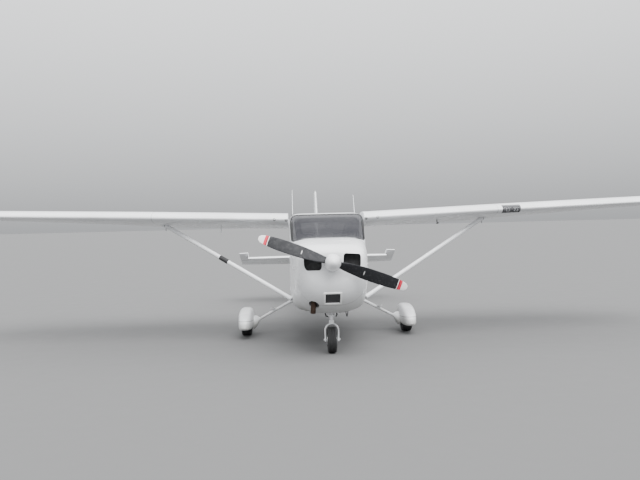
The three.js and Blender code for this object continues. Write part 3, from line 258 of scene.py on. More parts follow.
def glass(name, colour, alpha, haze=0.06):
    """Clear acrylic: a tint, fine dust and faint polishing marks."""
    g = Graph(name)
    dust = g.between(g.noise(26, 5), 0.52, 0.75, 0.0, 0.16)
    broad = g.between(g.noise(1.4, 3), 0.35, 0.7, 0.0, 0.12, smooth=True)
    film = g.math("ADD", dust, broad)
    dusty = tuple(min(1, c + 0.09) for c in colour)
    g.bump(g.noise(240, 2), 0.00005, 0.3)
    return g.set(
        Base_Color=g.mix(film, colour, dusty),
        Roughness=g.between(film, 0, 0.3, haze, haze + 0.12),
        Alpha=g.math("ADD", g.math("MULTIPLY", film, 0.5), alpha),
        IOR=1.49,
        Specular_IOR_Level=0.3,
    )


def woven(name, colour, pitch=0.0045):
    """A plain weave of two slightly different yarns, with a soft sheen."""
    g = Graph(name)
    x, y, z = g.split()
    along = g.math("ADD", y, z)
    over = g.math("SINE", g.math("MULTIPLY", x, 2 * math.pi / pitch))
    under = g.math("SINE", g.math("MULTIPLY", along, 2 * math.pi / pitch))
    cloth = g.math("MULTIPLY", over, under)
    worn = g.noise(7, 4)
    dark = tuple(c * 0.72 for c in colour)
    light = tuple(min(1, c * 1.25) for c in colour)
    tone = g.math("ADD", g.between(cloth, -1, 1, 0, 0.6), g.math("MULTIPLY", worn, 0.5))
    g.bump(cloth, 0.0006, 0.8)
    return g.set(Base_Color=g.ramp(tone, (0.2, dark), (0.85, light)), Roughness=0.9, Sheen_Weight=0.3)


BLACK, RED, DARK_RED, TIP_WHITE = (0.012, 0.0125, 0.015), (0.62, 0.03, 0.06), (0.35, 0.02, 0.04), (0.8, 0.8, 0.78)
BLADE_BANDS = ((0.0, BLACK), (0.827, TIP_WHITE), (0.835, DARK_RED), (0.850, RED), (0.876, TIP_WHITE))
TICK = dict(radius=0.40, half_width=0.008, half_height=0.030)


def blade_paint():
    """Matt black blade: white tip, a red and a white band, a thin dark red edge, a tick, scuffs."""
    g = Graph("blade_paint")
    x, _, z = g.split()
    bands = g.ramp(g.length(x, z), *BLADE_BANDS, constant=True)
    c, s = math.cos(PROP_TURN), math.sin(PROP_TURN)
    along = g.math("ADD", g.math("MULTIPLY", x, c), g.math("MULTIPLY", z, s))
    across = g.math("SUBTRACT", g.math("MULTIPLY", z, c), g.math("MULTIPLY", x, s))
    tick_x = g.line(g.math("ABSOLUTE", along), TICK["radius"], TICK["half_width"])
    tick = g.math("MULTIPLY", tick_x, g.line(across, 0.0, TICK["half_height"]))
    scuffed = g.between(g.noise(45, 5), 0.55, 0.75, 0.0, 0.35)
    worn = g.mix(scuffed, bands, g.mix(0.5, bands, (0.2, 0.2, 0.2)))
    g.bump(g.noise(120, 3), 0.0002)
    return g.set(
        Base_Color=g.mix(g.math("MULTIPLY", tick, 0.8), worn, (0.7, 0.7, 0.7)),
        Roughness=g.between(g.noise(20, 3), 0.3, 0.7, 0.48, 0.66),
        Specular_IOR_Level=0.3,
    )


RIVETS_WING = ((0, 1, 0.38, 0.032), (1, 0, 0.31, 0.032))
RIVETS_BODY = ((1, 2, 0.40, 0.03), (2, 1, 0.29, 0.03))
MATS = {
    # cowl and cabin darken towards the bottom: part dirt, part painted shade
    "cowl": paint("cowl_paint", seams=((1, -0.62),), dirt=0.3, low_dirt_and_shade=(2, -0.30, -0.66)),
    "cabin": paint("cabin_paint", rivets=((1, 2, 0.46, 0.03),), low_dirt_and_shade=(2, -0.35, -0.68)),
    "tail_cone": paint("tail_cone_paint", rivets=RIVETS_BODY, seams=((1, 3.5), (1, 4.2), (1, 5.0))),
    "wing": paint("wing_paint", rivets=RIVETS_WING, seams=((1, 1.12), (0, 2.54), (0, -2.54))),
    "surface": paint("control_surface_paint", rivets=((0, 1, 0.38, 0.032),)),
    "tail": paint("tail_paint", rivets=((2, 1, 0.3, 0.032), (0, 1, 0.34, 0.032))),
    "gloss": paint("gloss_white", dirt=0.25),
    # the fairing's darker lower half is part dirt, part painted shade
    "fairing": paint("fairing_white", dirt=0.4, low_dirt_and_shade=(2, -0.80, -0.91)),
    "bright": paint("bright_white", (0.88, 0.88, 0.87), dirt=0.15),
    "leg": paint("leg_white", dirt=0.7),
    "blade": blade_paint(),
    "glass": glass("window_acrylic", (0.024, 0.024, 0.031), 0.54),
    "lens": glass("lamp_cover", (0.16, 0.16, 0.17), 0.30),
    "tyre": plain("tyre_rubber", (0.022, 0.022, 0.023), 0.82, grain=90, depth=0.0006, spread=0.5),
    "seal": plain("black_rubber", (0.02, 0.02, 0.021), 0.7, grain=140, depth=0.0002),
    "black": plain("black_plastic", (0.025, 0.025, 0.027), 0.5, grain=180, depth=0.0002),
    "panel": plain("panel_plastic", (0.07, 0.072, 0.078), 0.72, grain=220, depth=0.0004),
    "trim": plain("cabin_lining", (0.16, 0.16, 0.166), 0.85, grain=160, depth=0.0005),
    "carpet": plain("carpet", (0.09, 0.092, 0.1), 0.95, grain=320, depth=0.002, spread=0.5),
    "steel": plain("bare_steel", (0.45, 0.45, 0.46), 0.38, 1.0, grain=40, stretch=(1, 1, 12), depth=0.0001),
    "alloy": plain("cast_alloy", (0.62, 0.62, 0.63), 0.42, 1.0, grain=80, depth=0.0003),
    "chrome": plain("polished_rod", (0.78, 0.78, 0.8), 0.12, 1.0, grain=30, depth=0.00002, spread=0.05),
    "iron": plain("engine_iron", (0.06, 0.06, 0.062), 0.75, 0.5, grain=24, depth=0.002, spread=0.5),
    "exhaust": plain("burnt_steel", (0.055, 0.034, 0.024), 0.7, 0.7, grain=30, depth=0.0006, spread=0.6),
    "seat": woven("seat_cloth", (0.20, 0.205, 0.225)),
    # painted highlight: pale cloth standing for the headrests' lit top edges
    "seat_top": woven("seat_edging", (0.72, 0.72, 0.74)),
    "dial": plain("dial_face", (0.012, 0.012, 0.013), 0.4, grain=90, depth=0.0001),
    "lamp": plain("lamp_reflector", (0.75, 0.75, 0.76), 0.15, 1.0, grain=16, depth=0.0002, spread=0.1),
    "red": plain("red_lens", (0.5, 0.01, 0.01), 0.15, grain=50, depth=0.0002),
    "green": plain("green_lens", (0.01, 0.28, 0.06), 0.15, grain=50, depth=0.0002),
    "mesh": plain("filter_mesh", (0.165, 0.155, 0.14), 0.75, 0.3, grain=120, depth=0.001, spread=0.5),
    "post": plain("light_lining", (0.55, 0.55, 0.56), 0.7, grain=160, depth=0.0003),
    "floor": plain("pale_floor", (0.122, 0.122, 0.122), 0.9, grain=3, depth=0.0005, spread=0.02),
}


# Small mesh helpers

def put(name, mesh, place):
    """A mesh as an object of the scene, at a place."""
    obj = bpy.data.objects.new(name, mesh)
    bpy.context.scene.collection.objects.link(obj)
    obj.matrix_world = place
    return obj


def body(name, verts, faces, material="gloss", place=AIR, sharp=32):
    """A mesh object with outward faces, smooth but for edges sharper than the angle."""
    verts = np.asarray(verts, float)
    volume = 0.0
    for f in faces:
        for i in range(1, len(f) - 1):
            volume += np.dot(verts[f[0]], np.cross(verts[f[i]], verts[f[i + 1]]))
    if volume < 0:
        faces = [tuple(reversed(f)) for f in faces]
    mesh = bpy.data.meshes.new(name)
    mesh.from_pydata([tuple(v) for v in verts], [], [tuple(int(i) for i in f) for f in faces])
    obj = put(name, mesh, place)
    mesh.materials.append(MATS[material])
    soften(obj, sharp)
    return obj


def soften(obj, sharp=32):
    obj.data.shade_smooth()
    obj.data.set_sharp_from_angle(angle=math.radians(sharp))


def lofted(rings, caps=True, loop=False):
    """Vertices and faces through rings of equal point count; capped, or closed into a loop of rings."""
    rings = np.asarray(rings, float)
    n, m = rings.shape[:2]
    faces = []
    for r in range(n if loop else n - 1):
        s = (r + 1) % n
        for i in range(m):
            j = (i + 1) % m
            faces.append((r * m + i, r * m + j, s * m + j, s * m + i))
    if caps and not loop:
        faces.append(tuple(range(m - 1, -1, -1)))
        faces.append(tuple((n - 1) * m + i for i in range(m)))
    return rings.reshape(-1, 3), faces


def loft(name, rings, material="gloss", place=AIR, caps=True, loop=False, sharp=32):
    return body(name, *lofted(rings, caps, loop), material, place, sharp)


def apply_all(obj):
    """Puts what a piece's modifiers make of it in the place of its mesh."""
    bpy.context.view_layer.update()
    made = bpy.data.meshes.new_from_object(obj.evaluated_get(bpy.context.evaluated_depsgraph_get()))
    obj.modifiers.clear()
    old, obj.data = obj.data, made
    bpy.data.meshes.remove(old)


def boolean(obj, tool, how):
    mod = obj.modifiers.new("boolean", "BOOLEAN")
    mod.object = tool
    mod.operation = how
    mod.solver = "EXACT"
    apply_all(obj)


def drop(*objs):
    for obj in objs:
        mesh = obj.data
        bpy.data.objects.remove(obj)
        bpy.data.meshes.remove(mesh)


def cut(obj, *tools):
    for tool in tools:
        boolean(obj, tool, "DIFFERENCE")
    drop(*tools)
    return obj


def meet(obj, tool):
    boolean(obj, tool, "INTERSECT")
    drop(tool)
    return obj


def join(name, *objs):
    """One object of several that share a place; it keeps every piece's own material."""
    first = objs[0]
    inverse = first.matrix_world.inverted()
    mats = []
    work = bmesh.new()
    for obj in objs:
        piece = obj.data.copy()
        piece.transform(inverse @ obj.matrix_world)
        shift = []
        for mat in obj.data.materials:
            if mat not in mats:
                mats.append(mat)
            shift.append(mats.index(mat))
        numbers = np.zeros(len(piece.polygons), np.int32)
        piece.polygons.foreach_get("material_index", numbers)
        numbers = np.array([shift[min(i, len(shift) - 1)] for i in numbers], np.int32)
        piece.polygons.foreach_set("material_index", numbers)
        work.from_mesh(piece)
        bpy.data.meshes.remove(piece)
    made = bpy.data.meshes.new(name)
    work.to_mesh(made)
    work.free()
    for mat in mats:
        made.materials.append(mat)
    place = first.matrix_world.copy()
    drop(*objs)
    return put(name, made, place)


def copied(obj, name):
    return put(name, obj.data.copy(), obj.matrix_world)


def turned_over(obj):
    """The piece itself, moved to the other side of the aircraft."""
    obj.data.transform(Matrix.Scale(-1, 4, (1, 0, 0)))
    obj.data.flip_normals()
    return obj


def flipped(obj, name="turned"):
    """The same piece on the other side of the aircraft."""
    return turned_over(copied(obj, name))


def done(obj, name, ride="root", replaces=(), sharp=None):
    """Names a piece, puts its place into its mesh, says what it rides on and stands for, and softens its shading when
    sharp is given.
    """
    obj.name = name
    obj.data.name = name
    obj.data.transform(obj.matrix_world)
    obj.matrix_world = ROW
    if sharp is not None:
        soften(obj, sharp)
    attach(obj, ride)
    if replaces:
        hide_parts(*replaces)
    return obj


def both(piece, name, ride="root", node=None, sharp=None):
    """Hands over a left piece and its mirror image; {} in a name stands for the side."""
    for side, sign in SIDES:
        made = piece if sign > 0 else flipped(piece)
        done(made, name.format(side), ride.format(side), [node.format(side)] if node else (), sharp)


def block(name, low, high, material="gloss", place=AIR, bevel=0.0):
    (x0, y0, z0), (x1, y1, z1) = low, high
    rings = [[(x0, y0, z), (x1, y0, z), (x1, y1, z), (x0, y1, z)] for z in (z0, z1)]
    obj = loft(name, rings, material, place)
    if bevel:
        rounded_edges(obj, bevel)
    return obj


def rounded_edges(obj, width, segments=3, angle=30):
    mod = obj.modifiers.new("bevel", "BEVEL")
    mod.width = width
    mod.segments = segments
    mod.limit_method = "ANGLE"
    mod.angle_limit = math.radians(angle)
    apply_all(obj)
    soften(obj, 40)


# where a shape's two measures and its length go among x, y and z
AXIS_ORDER = {"x": (2, 0, 1), "y": (0, 2, 1), "z": (0, 1, 2)}


def prism(name, outline, axis, low, high, material="gloss"):
    """An outline drawn out along an axis."""
    order = AXIS_ORDER[axis]
    return loft(name, [[[(u, v, w)[k] for k in order] for u, v in outline] for w in (low, high)], material)


def around(count):
    """Angles once round a circle."""
    return np.linspace(0, 2 * math.pi, count, endpoint=False)


def quarter(count):
    """Angles up to a right angle."""
    return [k / count * math.pi / 2 for k in range(1, count + 1)]


def rod(name, points, radii, material="gloss", place=AIR, sides=16):
    """A round bar through points."""
    points = [Vector(p) for p in points]
    radii = radii if hasattr(radii, "__len__") else [radii] * len(points)
    rings = []
    across = None
    for i, p in enumerate(points):
        along = (points[min(i + 1, len(points) - 1)] - points[max(i - 1, 0)]).normalized()
        if across is None:
            across = Vector((0, 1, 0)) if abs(along.y) < 0.8 else Vector((1, 0, 0))
        across = (across - along * across.dot(along)).normalized()
        side = along.cross(across)
        rings.append([
            tuple(p + across * (radii[i] * math.cos(t)) + side * (radii[i] * math.sin(t))) for t in around(sides)
        ])
    return loft(name, rings, material, place, sharp=40)


def turned(name, profile, axis, centre, material="gloss", place=AIR, sides=64, closed=False, sharp=30):
    """A body of revolution about an axis through a centre; profile is (along, radius) pairs."""
    order = AXIS_ORDER[axis]
    rings = []
    for along, radius in profile:
        ring = []
        for t in around(sides):
            p = (radius * math.cos(t), radius * math.sin(t), along)
            ring.append([p[k] + c for k, c in zip(order, centre)])
        rings.append(ring)
    return loft(name, rings, material, place, caps=not closed, loop=closed, sharp=sharp)


def rounded(outline, radius, steps=6):
    """An outline with its corners rounded."""
    out = []
    points = [Vector(p) for p in outline]
    for i, p in enumerate(points):
        back, on = points[i - 1] - p, points[(i + 1) % len(points)] - p
        reach = min(radius, 0.48 * back.length, 0.48 * on.length)
        a, b = p + back.normalized() * reach, p + on.normalized() * reach
        for k in range(steps + 1):
            t = k / steps
            q = a * (1 - t) ** 2 + p * (2 * t * (1 - t)) + b * t ** 2
            out.append((q.x, q.y))
    return out


def offset(outline, by):
    """An outline moved outwards by a distance; it may be any simple polygon."""
    points = np.array(outline, float)
    ahead = np.roll(points, -1, axis=0) - points
    ahead /= np.linalg.norm(ahead, axis=1)[:, None]
    x, y = points[:, 0], points[:, 1]
    turn = np.sign(np.sum(x * np.roll(y, -1) - np.roll(x, -1) * y))
    normal = np.stack([ahead[:, 1], -ahead[:, 0]], 1) * turn
    before = np.roll(normal, 1, axis=0)
    mid = normal + before
    mid /= np.maximum(np.sum(mid * normal, axis=1), 0.2)[:, None]
    return [tuple(p) for p in points + mid * by]


def monotone(t, values, at):
    """A smooth curve through values that never overshoots them."""
    h, d = np.diff(t), np.diff(values) / np.diff(t)
    slope = np.zeros(len(values))
    for i in range(1, len(values) - 1):
        if d[i - 1] * d[i] > 0:
            w1, w2 = 2 * h[i] + h[i - 1], h[i] + 2 * h[i - 1]
            slope[i] = (w1 + w2) / (w1 / d[i - 1] + w2 / d[i])
    slope[0], slope[-1] = d[0], d[-1]
    k = np.clip(np.searchsorted(t, at, "right") - 1, 0, len(h) - 1)
    s = (at - t[k]) / h[k]
    return (
        (1 + 2 * s) * (1 - s) ** 2 * values[k] + s * (1 - s) ** 2 * h[k] * slope[k]
        + s * s * (3 - 2 * s) * values[k + 1] + s * s * (s - 1) * h[k] * slope[k + 1]
    )


def dense(table, step, measure=(0, 1, 3, 4)):
    """A table's rows closed up to about step apart, on smooth curves."""
    rows = np.array(table, float)
    gaps = np.sqrt(np.sum(np.diff(rows[:, measure], axis=0) ** 2, axis=1))
    t = np.concatenate([[0], np.cumsum(np.maximum(gaps, 1e-6))])
    at = np.unique(np.concatenate([np.linspace(a, b, max(2, int(math.ceil((b - a) / step)) + 1))
                                   for a, b in zip(t[:-1], t[1:])]))
    return np.stack([monotone(t, rows[:, c], at) for c in range(rows.shape[1])], 1)


# Fuselage

# station y, half width, widest level, top, bottom, squareness above, squareness below; millimetres
FUSELAGE = [
    [-880, 262, 8, 122, -150, 2.2, 2.2],
    [-862, 345, 4, 165, -262, 2.5, 2.3],
    [-800, 402, -8, 198, -385, 3.0, 2.5],
    [-690, 440, -18, 232, -492, 3.6, 2.7],
    [-500, 470, -26, 270, -592, 4.4, 2.9],
    [-250, 490, -30, 315, -655, 5.0, 3.1],
    [0, 502, -30, 354, -657, 5.5, 3.2],
    [250, 526, -30, 525, -660, 7.0, 4.6],
    [610, 545, -30, 730, -660, 13, 5.5],
    [760, 547, -30, 752, -660, 12, 5.5],
    [1200, 547, -30, 790, -660, 11, 5.4],
    [1780, 545, -30, 775, -648, 9, 5.2],
    [2050, 525, -22, 733, -605, 6, 4.5],
    [2413, 487, -5, 592, -525, 4.2, 3.6],
    [2800, 437, 18, 425, -435, 3.3, 2.9],
    [4200, 285, 92, 372, -232, 2.6, 2.4],
    [5500, 148, 150, 318, -48, 2.3, 2.2],
    [6120, 78, 170, 290, 42, 2.2, 2.2],
]
HULL = dense(FUSELAGE, 45)
RING = 144


def hull_rows(low, high):
    """Rows of the fuselage table between two stations, with one at each end."""
    ends = [[np.interp(y, HULL[:, 0], HULL[:, c]) for c in range(7)] for y in (low, high)]
    inner = [row for row in HULL if low + 3 < row[0] < high - 3]
    return np.array([ends[0], *inner, ends[1]])


def hull_ring(row, inset=0.0, count=RING):
    y, half, belt, top, bottom, above, below = row
    t = around(count)
    c, s = np.cos(t), np.sin(t)
    power = 2 / np.where(s >= 0, above, below)
    height = np.where(s >= 0, top - inset - belt, belt - bottom - inset)
    x = (half - inset) * np.sign(c) * np.abs(c) ** power
    z = belt + height * np.sign(s) * np.abs(s) ** power
    return np.stack([x, np.full(count, y), z], 1) * MM


def hull_solid(name, low, high, inset=0.0, material="cabin", stretch=(0, 0)):
    rows = hull_rows(low, high)
    rings = [hull_ring(row, inset) for row in rows]
    rings[0][:, 1] -= stretch[0] * MM
    rings[-1][:, 1] += stretch[1] * MM
    return loft(name, rings, material)


def hull_pipe(name, low, high, out, inner, material="cabin"):
    """The fuselage's wall between two insets, open at both ends."""
    rows = hull_rows(low, high)
    rings = [hull_ring(row, out) for row in rows] + [hull_ring(row, inner) for row in rows[::-1]]
    return loft(name, rings, material, loop=True)


def at_hull(y, x=None, z=None, side=1):
    """A point of the skin at a station, at a given height on one side or at a given x on top."""
    ring = hull_ring(hull_rows(y, y + 10)[0], 0.0, 720)
    if x is not None:
        upper = ring[:361]
        return Vector(upper[np.argmin(np.abs(upper[:, 0] - x * MM))])
    half = ring[(ring[:, 0] >= 0)]
    k = np.argmin(np.abs(half[:, 2] - z * MM))
    return Vector((half[k][0] * side, half[k][1], half[k][2]))


# outlines as (y, z) for the sides and windscreen, (x, y) for the rear window, (x, z) for the inlet; millimetres
DOOR = [(560, -455), (1470, -455), (1470, 578), (655, 578), (560, 403)]
DOOR_WINDOW = [(640, 170), (1400, 165), (1400, 512), (715, 512), (640, 425)]
REAR_SIDE_WINDOW = [(1560, 172), (2150, 252), (2080, 500), (1600, 525), (1560, 500)]
WINDSCREEN = [(-40, 335), (80, 318), (200, 345), (560, 674), (612, 725), (612, 900), (-40, 900)]
BACK_WINDOW = [(-395, 1960), (395, 1960), (330, 2660), (-330, 2660)]
INLET = [(130, -42), (150, -90), (322, -90), (350, -42), (354, 82), (340, 104), (142, 118)]
GRILLE_HALF, GRILLE_LOW, GRILLE_HIGH = 0.106, -0.514, -0.374
COWL_WALL, CABIN_WALL, AFT_WALL, AFT_FROM = 12, 40, 12, 2000
FLOOR_Z = -0.560
PIPE_HOLE = dict(at=(-0.234, -0.585, -0.517), out=(0.0, -0.498, -0.867), half=0.065, long=0.090, deep=0.090)


def box_outline(x0, y0, x1, y1):
    return [(x0, y0), (x1, y0), (x1, y1), (x0, y1)]


def opening(outline, radius, grow=0.0):
    """A millimetre outline in metres, its corners rounded, then grown."""
    outline = rounded([(u * MM, v * MM) for u, v in outline], radius)
    return offset(outline, grow) if grow else outline


def screen_space(grow=0.0):
    return prism("screen_space", opening(WINDSCREEN, 0.03, grow), "x", -0.7, 0.7)


def back_space(grow=0.0):
    return prism("back_space", opening(BACK_WINDOW, 0.07, grow), "z", 0.2, 1.0)


def door_window_space(grow=0.0):
    return prism("door_window_space", opening(DOOR_WINDOW, 0.045, grow), "x", 0.3, 0.7)


def rear_side_space(grow=0.0):
    return prism("rear_side_space", opening(REAR_SIDE_WINDOW, 0.05, grow), "x", 0.3, 0.7)


def pipe_hole():
    """The oval opening in the cowling's lower front through which the exhaust pipe leaves."""
    at, out, half, long, deep = (PIPE_HOLE[k] for k in ("at", "out", "half", "long", "deep"))
    at, out = np.array(at), np.array(out)
    fore = np.array((0, out[2], -out[1]))
    return loft("pipe_hole", [[
        at + out * shift + np.array((half * math.cos(t), 0, 0)) + fore * (long * math.sin(t)) for t in around(56)
    ] for shift in (-deep, deep)])


def make_cowling():
    shell = hull_solid("cowling_skin", -880, -3, 0, "cowl")
    cut(shell, hull_solid("cowling_room", -868, -3, COWL_WALL, stretch=(0, 20)))
    for side in (1, -1):
        cut(shell, prism("inlet", [(x * side, z) for x, z in opening(INLET, 0.038)], "y", -0.96, -0.64))
    cut(
        shell,
        rod("shaft_hole", [(0, -0.95, 0), (0, -0.70, 0)], 0.085, sides=48),
        prism("leg_hole", rounded(box_outline(-0.095, -0.33, 0.095, -0.07), 0.05), "z", -0.90, -0.56),
        pipe_hole(),
        prism("grille_hole", box_outline(-GRILLE_HALF, GRILLE_LOW, GRILLE_HALF, GRILLE_HIGH), "y", -0.86, -0.50),
    )
    soften(shell)
    return shell


done(make_cowling(), "cowling_dressed", "root", ["cowling"], 34)


def make_cabin():
    """The cabin's wall, with white, lining and carpet faces."""
    rows = hull_rows(0, 2800)
    rings = [hull_ring(row) for row in rows]
    inner = [hull_ring(row, AFT_WALL if row[0] > AFT_FROM else CABIN_WALL) for row in rows[::-1]]
    for ring in inner:
        ring[:, 2] = np.maximum(ring[:, 2], FLOOR_Z)
    wall = loft("cabin_wall", rings + inner, "cabin", loop=True)
    wall.data.materials.append(MATS["trim"])
    wall.data.materials.append(MATS["carpet"])
    for face in wall.data.polygons:
        if len(rings) <= face.index // RING < 2 * len(rings) - 1:
            face.material_index = 2 if abs(face.center.z - FLOOR_Z) < MM else 1
    return wall


def cabin_cut(obj):
    for side, sign in SIDES:
        for tool in (door_region(0.007), rear_side_space()):
            cut(obj, tool if sign > 0 else turned_over(tool))
    return cut(obj, screen_space(), back_space())


DOOR_SLANT, DOOR_SLANT_AFT_OF = 0.034, 1.3


def door_region(grow):
    """The space of the left door, whose rear edge slants through the wall."""
    outline = opening(DOOR, 0.045, grow)
    return loft("door_region", [
        [(x, y - (pull if y > DOOR_SLANT_AFT_OF else 0.0), z) for y, z in outline]
        for x, pull in ((0.43, DOOR_SLANT), (0.64, 0.0))
    ])


cabin_wall = make_cabin()
door_leaf = meet(copied(cabin_wall, "leaf"), door_region(0.0))
cut(door_leaf, door_window_space())
done(cabin_cut(cabin_wall), "cabin_dressed", "root", ["cabin_shell"], 30)

# Glass and doors


def window(rows, strip_rows, space, out, inner):
    """A pane just under the skin, and the rubber strip round it, which stands a little proud."""
    pane = meet(hull_pipe("pane", *rows, 5, 9, "glass"), space(-0.001))
    strip = meet(hull_pipe("strip", *strip_rows, -1.5, 12, "seal"), space(out))
    return pane, cut(strip, space(inner))


screen, screen_seal = window((-60, 760), (-60, 800), screen_space, 0.007, -0.006)
back_glass, back_seal = window((1900, 2750), (1900, 2750), back_space, 0.013, -0.011)
door_pane, door_seal = window((600, 1440), (600, 1440), door_window_space, 0.012, -0.010)
rear_pane, rear_seal = window((1520, 2190), (1500, 2210), rear_side_space, 0.012, -0.010)


def door_fittings():
    """Outer handle in its recess plate, hinge straps, arm rest and map pocket."""
    x = at_hull(1380, z=-30).x
    plate = prism("plate", rounded(box_outline(1.30, -0.075, 1.455, 0.015), 0.012), "x", x - 0.006, x + 0.0025, "alloy")
    lever = prism("lever", rounded(box_outline(1.318, -0.044, 1.432, -0.016), 0.013), "x", x + 0.0015, x + 0.012,
                  "chrome")
    rounded_edges(lever, 0.003)
    straps = []
    for z in (-0.330, 0.090):
        x = at_hull(600, z=z / MM).x
        straps.append(block("strap", (x - 0.006, 0.566, z - 0.03), (x + 0.003, 0.655, z + 0.03), "gloss", bevel=0.002))
    rest = block("arm_rest", (0.452, 0.78, -0.09), (0.492, 1.28, -0.02), "seat", bevel=0.014)
    pocket = block("map_pocket", (0.468, 0.74, -0.40), (0.488, 1.20, -0.20), "trim", bevel=0.008)
    return join("door_fittings", plate, lever, *straps, rest, pocket)


for pane, seal, name in ((screen, screen_seal, "windscreen"), (back_glass, back_seal, "back_window")):
    done(pane, f"{name}_dressed", "root", [name], 25)
    done(seal, f"{name}_seal", "root", sharp=30)
both(door_pane, "door_window_{}_dressed", "door_{}", "door_window_{}", 25)
both(door_seal, "door_window_seal_{}", "door_{}", sharp=30)
both(rear_pane, "side_window_{}_dressed", "root", "side_window_{}", 25)
both(rear_seal, "side_window_seal_{}", sharp=30)
both(door_leaf, "door_{}_dressed", "door_{}", "door_{}", 30)
both(door_fittings(), "door_fittings_{}", "door_{}")


# Cowling fittings

def make_grille():
    """A raised white frame with a dark filter mesh behind it."""
    half, low, high = GRILLE_HALF, GRILLE_LOW, GRILLE_HIGH
    outer = box_outline(-half, low, half, high)
    skin = hull_pipe("grille_skin", -860, -480, -6, 9, "bright")
    meet(skin, prism("frame_space", offset(outer, 0.010), "y", -0.87, -0.5))
    cut(skin, prism("frame_hole", offset(outer, -0.014), "y", -0.88, -0.49))
    wire, fore, aft = 0.0012, -0.76, -0.60
    bars = [block("bar", (x - wire, fore, low + 0.008), (x + wire, aft, high - 0.008), "mesh")
            for x in np.linspace(-0.091, 0.091, 23)]
    bars += [block("bar", (-half + 0.008, fore, z - wire), (half - 0.008, aft, z + wire), "mesh")
             for z in np.linspace(low + 0.014, high - 0.014, 14)]
    net = meet(join("net", *bars), hull_pipe("net_space", -860, -480, 3, 7))
    backing = hull_pipe("backing", -860, -480, 9, 12, "black")
    meet(backing, prism("backing_space", offset(outer, -0.003), "y", -0.87, -0.5))
    return join("grille_dressed", skin, net, backing)


def stud(p, side, proud, radius, sides=16):
    """A fastener's head on the skin, facing out to a side."""
    return rod("stud", [(p.x - side * 0.004, p.y, p.z), (p.x + side * proud, p.y, p.z)], radius, "alloy", sides=sides)


def cowl_fittings():
    """Side latches, quarter-turn fasteners and the screws along the cowling's rear edge."""
    parts = []
    for side in (1, -1):
        for y in (-180, -430):
            p = at_hull(y, z=-60, side=side)
            reach = Vector((0.004, 0.030, 0.011))
            parts.append(block("latch", p - reach, p + reach, "alloy", bevel=0.003))
        parts += [stud(at_hull(y, z=-26, side=side), side, 0.0022, 0.0075) for y in (-700, -560, -330, -90)]
    for z in (-640, -440, -200, 100, 240):
        parts += [stud(at_hull(-22, z=z, side=side), side, 0.0016, 0.0055, 12) for side in (1, -1)]
    return join("cowl_fittings", *parts)


def oil_door():
    """A hinged access door flush in the cowling's top, on the aircraft's left."""
    leaf = hull_pipe("leaf", -480, -120, -1.2, 3, "cowl")
    meet(leaf, prism("leaf_space", rounded(box_outline(0.13, -0.36, 0.30, -0.24), 0.015), "z", 0.1, 0.5))
    hinge_z, catch_z = at_hull(-365, x=215).z + 0.001, at_hull(-262, x=215).z
    hinge = rod("hinge", [(0.14, -0.365, 0), (0.29, -0.365, 0)], 0.0035, "alloy")
    hinge.data.transform(Matrix.Translation((0, 0, hinge_z)))
    catch = rod("catch", [(0.215, -0.262, catch_z - 0.002), (0.215, -0.262, catch_z + 0.003)], 0.009, "alloy")
    return join("oil_door", leaf, hinge, catch)


done(make_grille(), "grille_dressed", "root", ["grille"])
done(cowl_fittings(), "cowl_fittings", "root")
done(oil_door(), "oil_door", "root")


def drains():
    """Breather, drain and link tubes under the cowling's rear edge."""
    tubes = []
    for points, radius in (
        ([(-0.085, -0.30, -0.60), (-0.085, -0.29, -0.655), (-0.072, -0.27, -0.690), (-0.045, -0.25, -0.700)], 0.0085),
        ([(0.070, -0.22, -0.60), (0.072, -0.21, -0.675), (0.060, -0.20, -0.702)], 0.0085),
        ([(0.185, -0.30, -0.60), (0.190, -0.29, -0.668), (0.201, -0.28, -0.700)], 0.0065),
        ([(0.215, -0.24, -0.60), (0.214, -0.24, -0.672), (0.203, -0.26, -0.700)], 0.0065),
    ):
        tubes.append(rod("tube", points, radius, "black"))
    return join("drain_tubes", *tubes)


done(drains(), "drain_tubes", "root")

# Propeller and spinner

DISC = AIR @ Matrix.Translation((0, PROP_Y, 0)) @ Matrix.Rotation(-PROP_TURN, 4, "Y")
BLADE = [
    # radius, chord, thickness, angle in degrees
    [30, 78, 52, 54], [110, 114, 46, 45], [230, 146, 28, 37], [420, 166, 19, 27],
    [650, 160, 13, 20], [840, 128, 10, 16], [925, 88, 7, 15], [952, 40, 4, 15],
]


def make_propeller():
    rings = []
    for radius, chord, thick, degrees in dense(BLADE, 22, (0, 1)):
        angle = math.radians(degrees)
        ring = []
        for t in around(32):
            a, b = chord / 2 * math.cos(t), thick / 2 * math.sin(t)
            ring.append((radius * MM, (b * math.cos(angle) - a * math.sin(angle)) * MM,
                         (a * math.cos(angle) + b * math.sin(angle)) * MM))
        rings.append(ring)
    blade = loft("blade", rings, "blade", DISC, sharp=60)
    other = loft("blade", [[(-x, y, -z) for x, y, z in ring] for ring in rings], "blade", DISC, sharp=60)
    hub = turned("hub", [(-0.034, 0.001), (-0.034, 0.058), (0.0547, 0.058), (0.0547, 0.001)], "y", (0, 0, 0),
                 "steel", DISC, 48)
    return join("propeller_dressed", blade, other, hub)


SPINNER_TIP, SPINNER_BACK, SPINNER_RADIUS = -1.181, -0.928, 0.110
SLOT_REACH, SLOT_HALF, SLOT_AFT, SCREW_RADIUS = 0.2, 0.054, 0.055, 0.1085


def blade_slot(side, inner, fore):
    """The space of a blade's root in the spinner, on one side of the shaft."""
    low, high = sorted((side * inner, side * SLOT_REACH))
    return block("slot", (low, fore, -SLOT_HALF), (high, SLOT_AFT, SLOT_HALF), "black", DISC)


